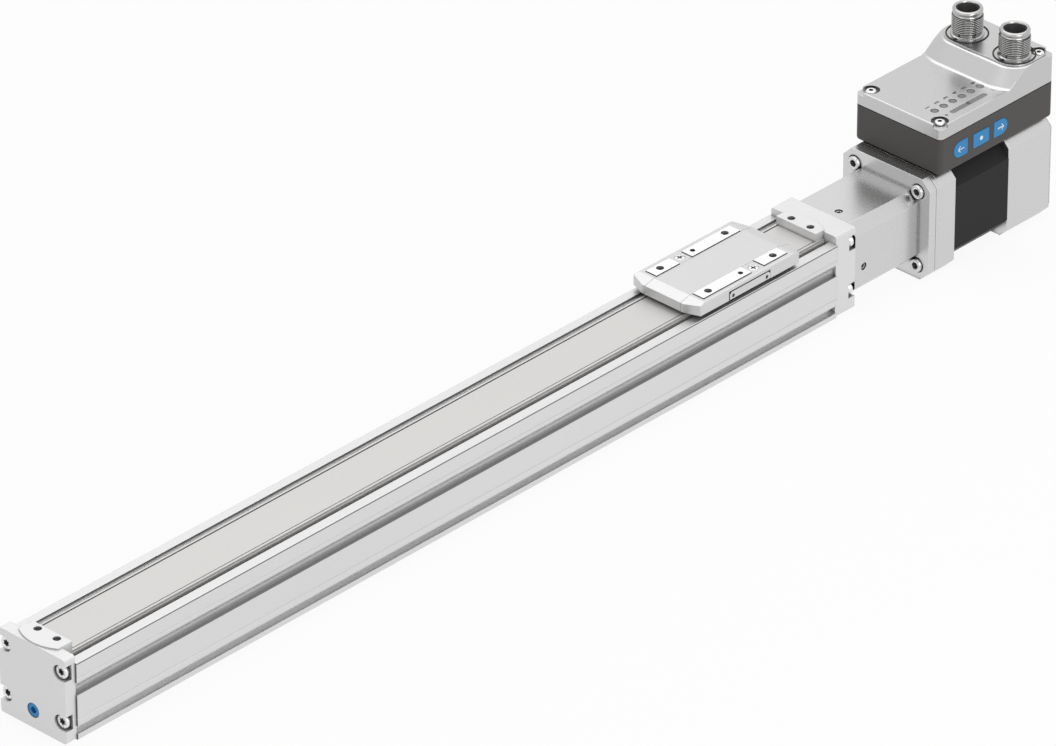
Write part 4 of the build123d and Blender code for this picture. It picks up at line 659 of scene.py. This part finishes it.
def cornerPlaces(node, way, radius):
    # Face centres of four like screws that fill the corners of their node's box
    low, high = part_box(node)
    axis = "xyz".index(way[-1])
    others = [i for i in range(3) if i != axis]
    places = []
    for first in (low[others[0]] + radius * mm, high[others[0]] - radius * mm):
        for second in (low[others[1]] + radius * mm, high[others[1]] - radius * mm):
            spot = [0.0, 0.0, 0.0]
            spot[axis] = low[axis] if way[0] == "-" else high[axis]
            spot[others[0]], spot[others[1]] = first, second
            places.append((spot, way))
    return places


# Screws of the end covers: flat heads on a short cone, with a six-lobed recess
coverScrew = {"finish": "brightScrew", "slot": "zinc_screw", "recess": sixLobed(1.4), "recessDepth": 1.3,
              "headRadius": 2.65, "tipRadius": 1.25}
for name, node, way, length in (("frontCoverScrews", "front_cover_screws", "-x", 11.6),
                                ("driveCoverScrews", "drive_cover_screws", "x", 17.2)):
    head = coverScrew["headRadius"]
    shank = coverScrew["tipRadius"]
    cfg = dict(coverScrew, profile=[
        (shank - 0.25, -length), (shank, -length + 0.3), (shank, -2.4), (1.75, -2.4),
        (1.75, -1.5), (head, -0.9), (head, -0.18), (head - 0.18, 0.0)])
    makeScrews(name, node, cfg, cornerPlaces(node, way, head))

# Cap screws of the motor flange: knurled heads with a hexagon socket
flangeBolt = {"finish": "zincScrew", "slot": "zinc_screw", "recess": hexagon(1.3), "recessDepth": 1.6,
              "count": 120, "headRadius": 2.75,
              "profile": [(1.3, -11.9), (1.5, -11.6), (1.5, -3.0), (2.6, -3.0), (knurled(2.75), -2.85),
                          (knurled(2.75), -0.55), (2.62, -0.4), (2.62, -0.25), (2.4, 0.0), (1.62, 0.0),
                          (1.5, -0.12)]}
rearBolt = {"finish": "zincScrew", "slot": "zinc_screw", "recess": cross(1.5, 0.32), "recessDepth": 0.9,
            "count": 64, "headRadius": 2.75,
            "profile": [(1.3, -9.6), (1.5, -9.3), (1.5, -1.3), (2.75, -1.3), (2.75, -0.45),
                        (2.3, -0.12), (1.7, 0.0)]}
bandScrew = {"finish": "darkScrew", "slot": "zinc_screw", "recess": hexagon(0.65), "recessDepth": 0.9,
             "headRadius": 1.4,
             "profile": [(0.8, -4.9), (1.0, -4.7), (1.0, -1.4), (1.4, -1.4), (1.4, -0.2), (1.2, 0.0)]}
for name, node, way, cfg in (("flangeBolts", "flange_bolts", "-x", flangeBolt),
                             ("rearBolts", "rear_bolts", "x", rearBolt),
                             ("bandScrews", "band_screws", "z", bandScrew)):
    makeScrews(name, node, cfg, cornerPlaces(node, way, cfg["headRadius"]))

# Lid screws: the two on the low lid stand lower than the two beside the connectors
lidScrew = {"finish": "brightScrew", "slot": "zinc_screw", "recess": sixLobed(0.95), "recessDepth": 0.9,
            "headRadius": 2.0,
            "profile": [(0.9, -6.0), (1.1, -5.8), (1.1, -1.2), (2.0, -1.2), (2.0, -0.55), (1.8, -0.15),
                        (1.3, 0.0)]}
lidStep = 6.7 * mm
lidRampX = 0.27
lidPlaces = []
for spot, way in cornerPlaces("box_screws", "z", lidScrew["headRadius"]):
    if spot[0] < lidRampX:
        spot[2] -= lidStep
    lidPlaces.append((spot, way))
makeScrews("lidScrews", "box_screws", lidScrew, lidPlaces)

# Countersunk screws in the table with a cross recess
tableScrew = {"finish": "brightScrew", "slot": "zinc_screw", "recess": cross(1.15, 0.27),
              "recessDepth": 0.8, "count": 64, "inset": 2.05,
              "profile": [(0.8, -5.4), (1.0, -5.2), (1.0, -1.1), (2.0, -0.1), (1.97, -0.03)]}
low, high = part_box("table_screws")
inset = tableScrew["inset"] * mm
tablePlaces = [((low[0] + inset, high[1] - inset, high[2]), "z"),
               ((high[0] - inset, low[1] + inset, high[2]), "z")]
makeScrews("tableScrews", "table_screws", tableScrew, tablePlaces, "carriage")

inlayScrew = {"finish": "darkScrew", "slot": "zinc_screw", "recess": sixLobed(0.4), "recessDepth": 0.4,
              "inset": 0.75, "profile": [(0.6, -1.4), (0.7, -1.3), (0.7, -0.1), (0.6, 0.0)]}
low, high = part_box("inlay_screws")
inset = inlayScrew["inset"] * mm
inlayPlaces = [((x, y, (low[2] + high[2]) / 2), way) for x in (low[0] + inset, high[0] - inset)
               for y, way in ((low[1], "-y"), (high[1], "y"))]
makeScrews("inlayScrews", "inlay_screws", inlayScrew, inlayPlaces, "carriage")

# Thin dark lines of painted shade along the pads and round the inlays, on the sides that lie in shade
shadeLines = {"width": 0.28, "rise": 0.03, "top": 37.2, "side": 16.4, "longPad": (-22.3, 3.2),
              "shortPad": (9.9, 22.2), "padInner": 8.85, "padOuter": 14.15,
              "inlay": (-10.9, 10.9, 32.7, 35.9)}
low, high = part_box("carriage_table")
centre = Matrix.Translation(((low[0] + high[0]) / 2, (low[1] + high[1]) / 2, 0.0))
wide = shadeLines["width"]
build = bmesh.new()
for side in (-1, 1):
    for first, last in (shadeLines["longPad"], shadeLines["shortPad"]):
        left, right = (first, last) if side < 0 else (-last, -first)
        front = -shadeLines["padOuter"] if side < 0 else shadeLines["padInner"]
        back = -shadeLines["padInner"] if side < 0 else shadeLines["padOuter"]
        outline = [(left - wide, front - wide), (right, front - wide), (right, front),
                   (left, front), (left, back), (left - wide, back)]
        addPlate(build, outline, centre, shadeLines["top"], shadeLines["top"] + shadeLines["rise"])
    left, right, under, over = shadeLines["inlay"]
    outline = [(left - wide, under), (left - wide, over + wide), (right, over + wide),
               (right, over), (left, over), (left, under)]
    mirrored = turns["y"] @ Matrix.Scale(-1, 4, (0, 1, 0))
    face = centre @ Matrix.Translation((0, side * shadeLines["side"] * mm, 0)) @ mirrored
    addPlate(build, outline, face, -shadeLines["rise"] * side, shadeLines["rise"] * side)
bmesh.ops.recalc_face_normals(build, faces=build.faces)
finishPiece(build, "shadeLines", "blackPrintAndShade", "carriage")

# Set screws in the coupling housing, one from each side
setScrew = {"finish": "zincScrew", "slot": "zinc_screw", "recess": hexagon(0.75), "recessDepth": 1.2,
            "profile": [(1.2, -4.0), (1.4, -3.7), (1.42, -0.25), (1.2, 0.0)],
            "offset": 3.3 * mm, "axis": 18.6 * mm}
low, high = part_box("housing_set_screws")
middle = (low[0] + high[0]) / 2
setPlaces = [((middle, -setScrew["offset"], high[2]), "z"), ((middle, setScrew["offset"], low[2]), "-z"),
             ((middle, low[1], setScrew["axis"] - setScrew["offset"]), "-y"),
             ((middle, high[1], setScrew["axis"] + setScrew["offset"]), "y")]
makeScrews("housingSetScrews", "housing_set_screws", setScrew, setPlaces)
print("screws ready")

# Round connectors: outer thread, nose ring, black lining and the ring with its notch
connector = {"threadRadius": 6.0, "threadDepth": 0.42, "pitch": 0.75,
             "threadLow": 1.7, "threadHigh": 8.7,
             "foot": [(5.2, -2.0), (5.2, 0.0), (6.3, 0.0), (6.3, 0.15), (6.2, 0.25), (5.5, 0.25),
                      (5.4, 0.5), (5.4, 1.2)],
             "nose": [(5.45, 9.0), (5.35, 9.3), (5.35, 9.6), (5.75, 9.8), (5.75, 10.4), (5.5, 10.9),
                      (5.0, 11.1), (4.55, 11.1), (4.3, 10.8), (4.3, -2.0)],
             "lining": [(4.28, -2.0), (4.28, 10.3), (4.0, 10.5), (3.85, 10.3), (3.85, 2.0)],
             "sealRing": [(7.6, 0.0), (8.1, 0.0), (8.1, 0.2), (7.95, 0.28), (7.6, 0.28)],
             "notch": [(-7.8, -0.4), (-6.3, -0.4), (-6.3, 0.4), (-7.8, 0.4)], "notchLow": 0.3,
             "notchHigh": 0.45, "groundShare": 0.5, "innerWall": 5, "turnSteps": 8, "fadeSteps": 6}


def threadRings(cfg):
    rings = []
    steps = round((cfg["threadHigh"] - cfg["threadLow"]) / cfg["pitch"] * cfg["turnSteps"])
    for i in range(steps + 1):
        height = cfg["threadLow"] + i * cfg["pitch"] / cfg["turnSteps"]
        fade = min(1.0, i / cfg["fadeSteps"], (steps - i) / cfg["fadeSteps"])

        def radius(angle, height=height, fade=fade):
            wave = abs(((height / cfg["pitch"] - angle / (2 * math.pi)) % 1) * 2 - 1)
            return cfg["threadRadius"] - cfg["threadDepth"] * (1 - fade * (1 - wave))

        rings.append((radius, height))
    return rings


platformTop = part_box("controller_cover")[1][2]
linings = bmesh.new()
seals = bmesh.new()
for side, node in (("Near", "connector_shell_near"), ("Far", "connector_shell_far")):
    low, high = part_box(node)
    foot = Matrix.Translation(((low[0] + high[0]) / 2, (low[1] + high[1]) / 2, platformTop))
    build = bmesh.new()
    rings = connector["foot"] + threadRings(connector) + connector["nose"]
    addTurned(build, rings, foot, 72, closed=True)
    ground = (connector["threadRadius"] - connector["threadDepth"] * connector["groundShare"]) * mm
    # Faces deep in the thread's valleys take the painted recess shade
    for face in build.faces:
        spot = foot.inverted() @ face.calc_center_median()
        inThread = connector["threadLow"] * mm < spot.z < connector["threadHigh"] * mm
        away = math.hypot(spot.x, spot.y)
        face.material_index = int(inThread and connector["innerWall"] * mm < away < ground)
    finishPiece(build, "connectorShell" + side, "nickel", "base", (node,), 50)
    addTurned(linings, connector["lining"], foot)
    addTurned(seals, connector["sealRing"], foot, 64, closed=True)
    addPlate(seals, connector["notch"], foot, connector["notchLow"], connector["notchHigh"])
finishPiece(linings, "connectorLinings", "blackRubber", "base", ("connector_inserts",))
finishPiece(seals, "connectorRings", "blackRubber", "base", ("connector_seals",))
print("connectors ready")

# Lamp windows: dark rims, the bar's divider, and plain signs and numbers beside them
lidTop = platformTop - lidStep
lampSigns = {"count": 6, "radius": 1.6, "rimOut": 1.58, "rimIn": 1.22, "rimLow": -0.25, "rimHigh": -0.03,
             "numberSize": 2.9, "numberGap": 3.4, "bold": 0.07, "inkHigh": 0.02, "crossRise": 0.002,
             "plus": (252.6, -15.8), "minus": (278.2, -15.8), "signArm": 0.75, "signHalf": 0.14,
             "divider": 0.55, "dividerLow": -0.3, "dividerHigh": 0.015}
low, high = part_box("status_lamps")
lampRadius = lampSigns["radius"] * mm
lampStep = (high[0] - low[0] - 2 * lampRadius) / (lampSigns["count"] - 1)
lampMiddles = [low[0] + lampRadius + i * lampStep for i in range(lampSigns["count"])]
lampY = (low[1] + high[1]) / 2
build = bmesh.new()
rim = [(lampSigns["rimIn"], lampSigns["rimLow"]), (lampSigns["rimOut"], lampSigns["rimLow"]),
       (lampSigns["rimOut"], lampSigns["rimHigh"]), (lampSigns["rimIn"], lampSigns["rimHigh"])]
for x in lampMiddles:
    addTurned(build, rim, Matrix.Translation((x, lampY, lidTop)), 40, closed=True)
low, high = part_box("level_lamps")
barMiddle = Matrix.Translation(((low[0] + high[0]) / 2, (low[1] + high[1]) / 2, lidTop))
half = (high[1] - low[1]) / 2 / mm
wide = lampSigns["divider"]
addPlate(build, [(-wide, -half), (wide, -half), (wide, half), (-wide, half)], barMiddle,
         lampSigns["dividerLow"], lampSigns["dividerHigh"])
finishPiece(build, "lampRims", "lampRim", "base")

build = bmesh.new()
arm, half = lampSigns["signArm"], lampSigns["signHalf"]
bar = [(-arm, -half), (arm, -half), (arm, half), (-arm, half)]
upright = [(y, x) for x, y in reversed(bar)]
plus = Matrix.Translation((lampSigns["plus"][0] * mm, lampSigns["plus"][1] * mm, lidTop))
minus = Matrix.Translation((lampSigns["minus"][0] * mm, lampSigns["minus"][1] * mm, lidTop))
addPlate(build, bar, plus, 0.0, lampSigns["inkHigh"])
addPlate(build, upright, plus, 0.0, lampSigns["inkHigh"] + lampSigns["crossRise"])
addPlate(build, upright, minus, 0.0, lampSigns["inkHigh"])
finishPiece(build, "levelSigns", "blackPrintAndShade", "base")

for number, x in enumerate(lampMiddles, 1):
    letters = bpy.data.curves.new("number", "FONT")
    letters.body = str(number)
    letters.size = lampSigns["numberSize"] * mm
    letters.extrude = lampSigns["inkHigh"] * mm / 2
    letters.offset = lampSigns["bold"] * mm
    letters.align_x = "CENTER"
    letters.align_y = "CENTER"
    written = bpy.data.objects.new("written", letters)
    bpy.context.collection.objects.link(written)
    bpy.context.view_layer.update()
    mesh = bpy.data.meshes.new_from_object(written.evaluated_get(bpy.context.evaluated_depsgraph_get()))
    bpy.data.objects.remove(written)
    spot = Vector((x, lampY + lampSigns["numberGap"] * mm, lidTop + lampSigns["inkHigh"] * mm / 2))
    mesh.transform(Matrix.Translation(spot) @ Matrix.Rotation(math.radians(90), 4, "Z"))
    mesh.materials.clear()
    mesh.materials.append(paints["blackPrintAndShade"])
    piece = bpy.data.objects.new("lampNumber%d" % number, mesh)
    bpy.context.collection.objects.link(piece)
    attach(piece, "base")
print("lamp signs ready")

# White signs on the keys: an arrow each way and a dot between them
keySigns = {"ink": 0.02, "arrowLength": 3.4, "arrowHead": 1.25, "line": 0.27, "diagonal": 1.414,
            "dotRadius": 0.85}


def arrowOutline(cfg, way):
    # The lower half of an arrow to the right, then its mirrored upper half
    long, tip, line = cfg["arrowLength"] / 2, cfg["arrowHead"], cfg["line"]
    slant = line * cfg["diagonal"]
    lower = [(-long, -line), (long - slant - line, -line), (long - tip - line, -tip),
             (long - tip + slant - line, -tip - slant + line)]
    right = lower + [(long, 0.0)] + [(x, -y) for x, y in reversed(lower)]
    return right if way > 0 else [(-x, y) for x, y in reversed(right)]


for name, node, body, way in (("backSign", "button_back", "back_button", -1),
                              ("selectSign", "button_select", "select_button", 0),
                              ("nextSign", "button_next", "next_button", 1)):
    low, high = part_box(node)
    face = Matrix.Translation(((low[0] + high[0]) / 2, low[1], (low[2] + high[2]) / 2)) @ turns["-y"]
    build = bmesh.new()
    if way:
        addPlate(build, arrowOutline(keySigns, way), face, 0.0, keySigns["ink"])
    else:
        dot = [(keySigns["dotRadius"], 0.0), (keySigns["dotRadius"], keySigns["ink"])]
        addTurned(build, dot, face, 40)
    finishPiece(build, name, "whiteInk", body)
print("key signs ready")
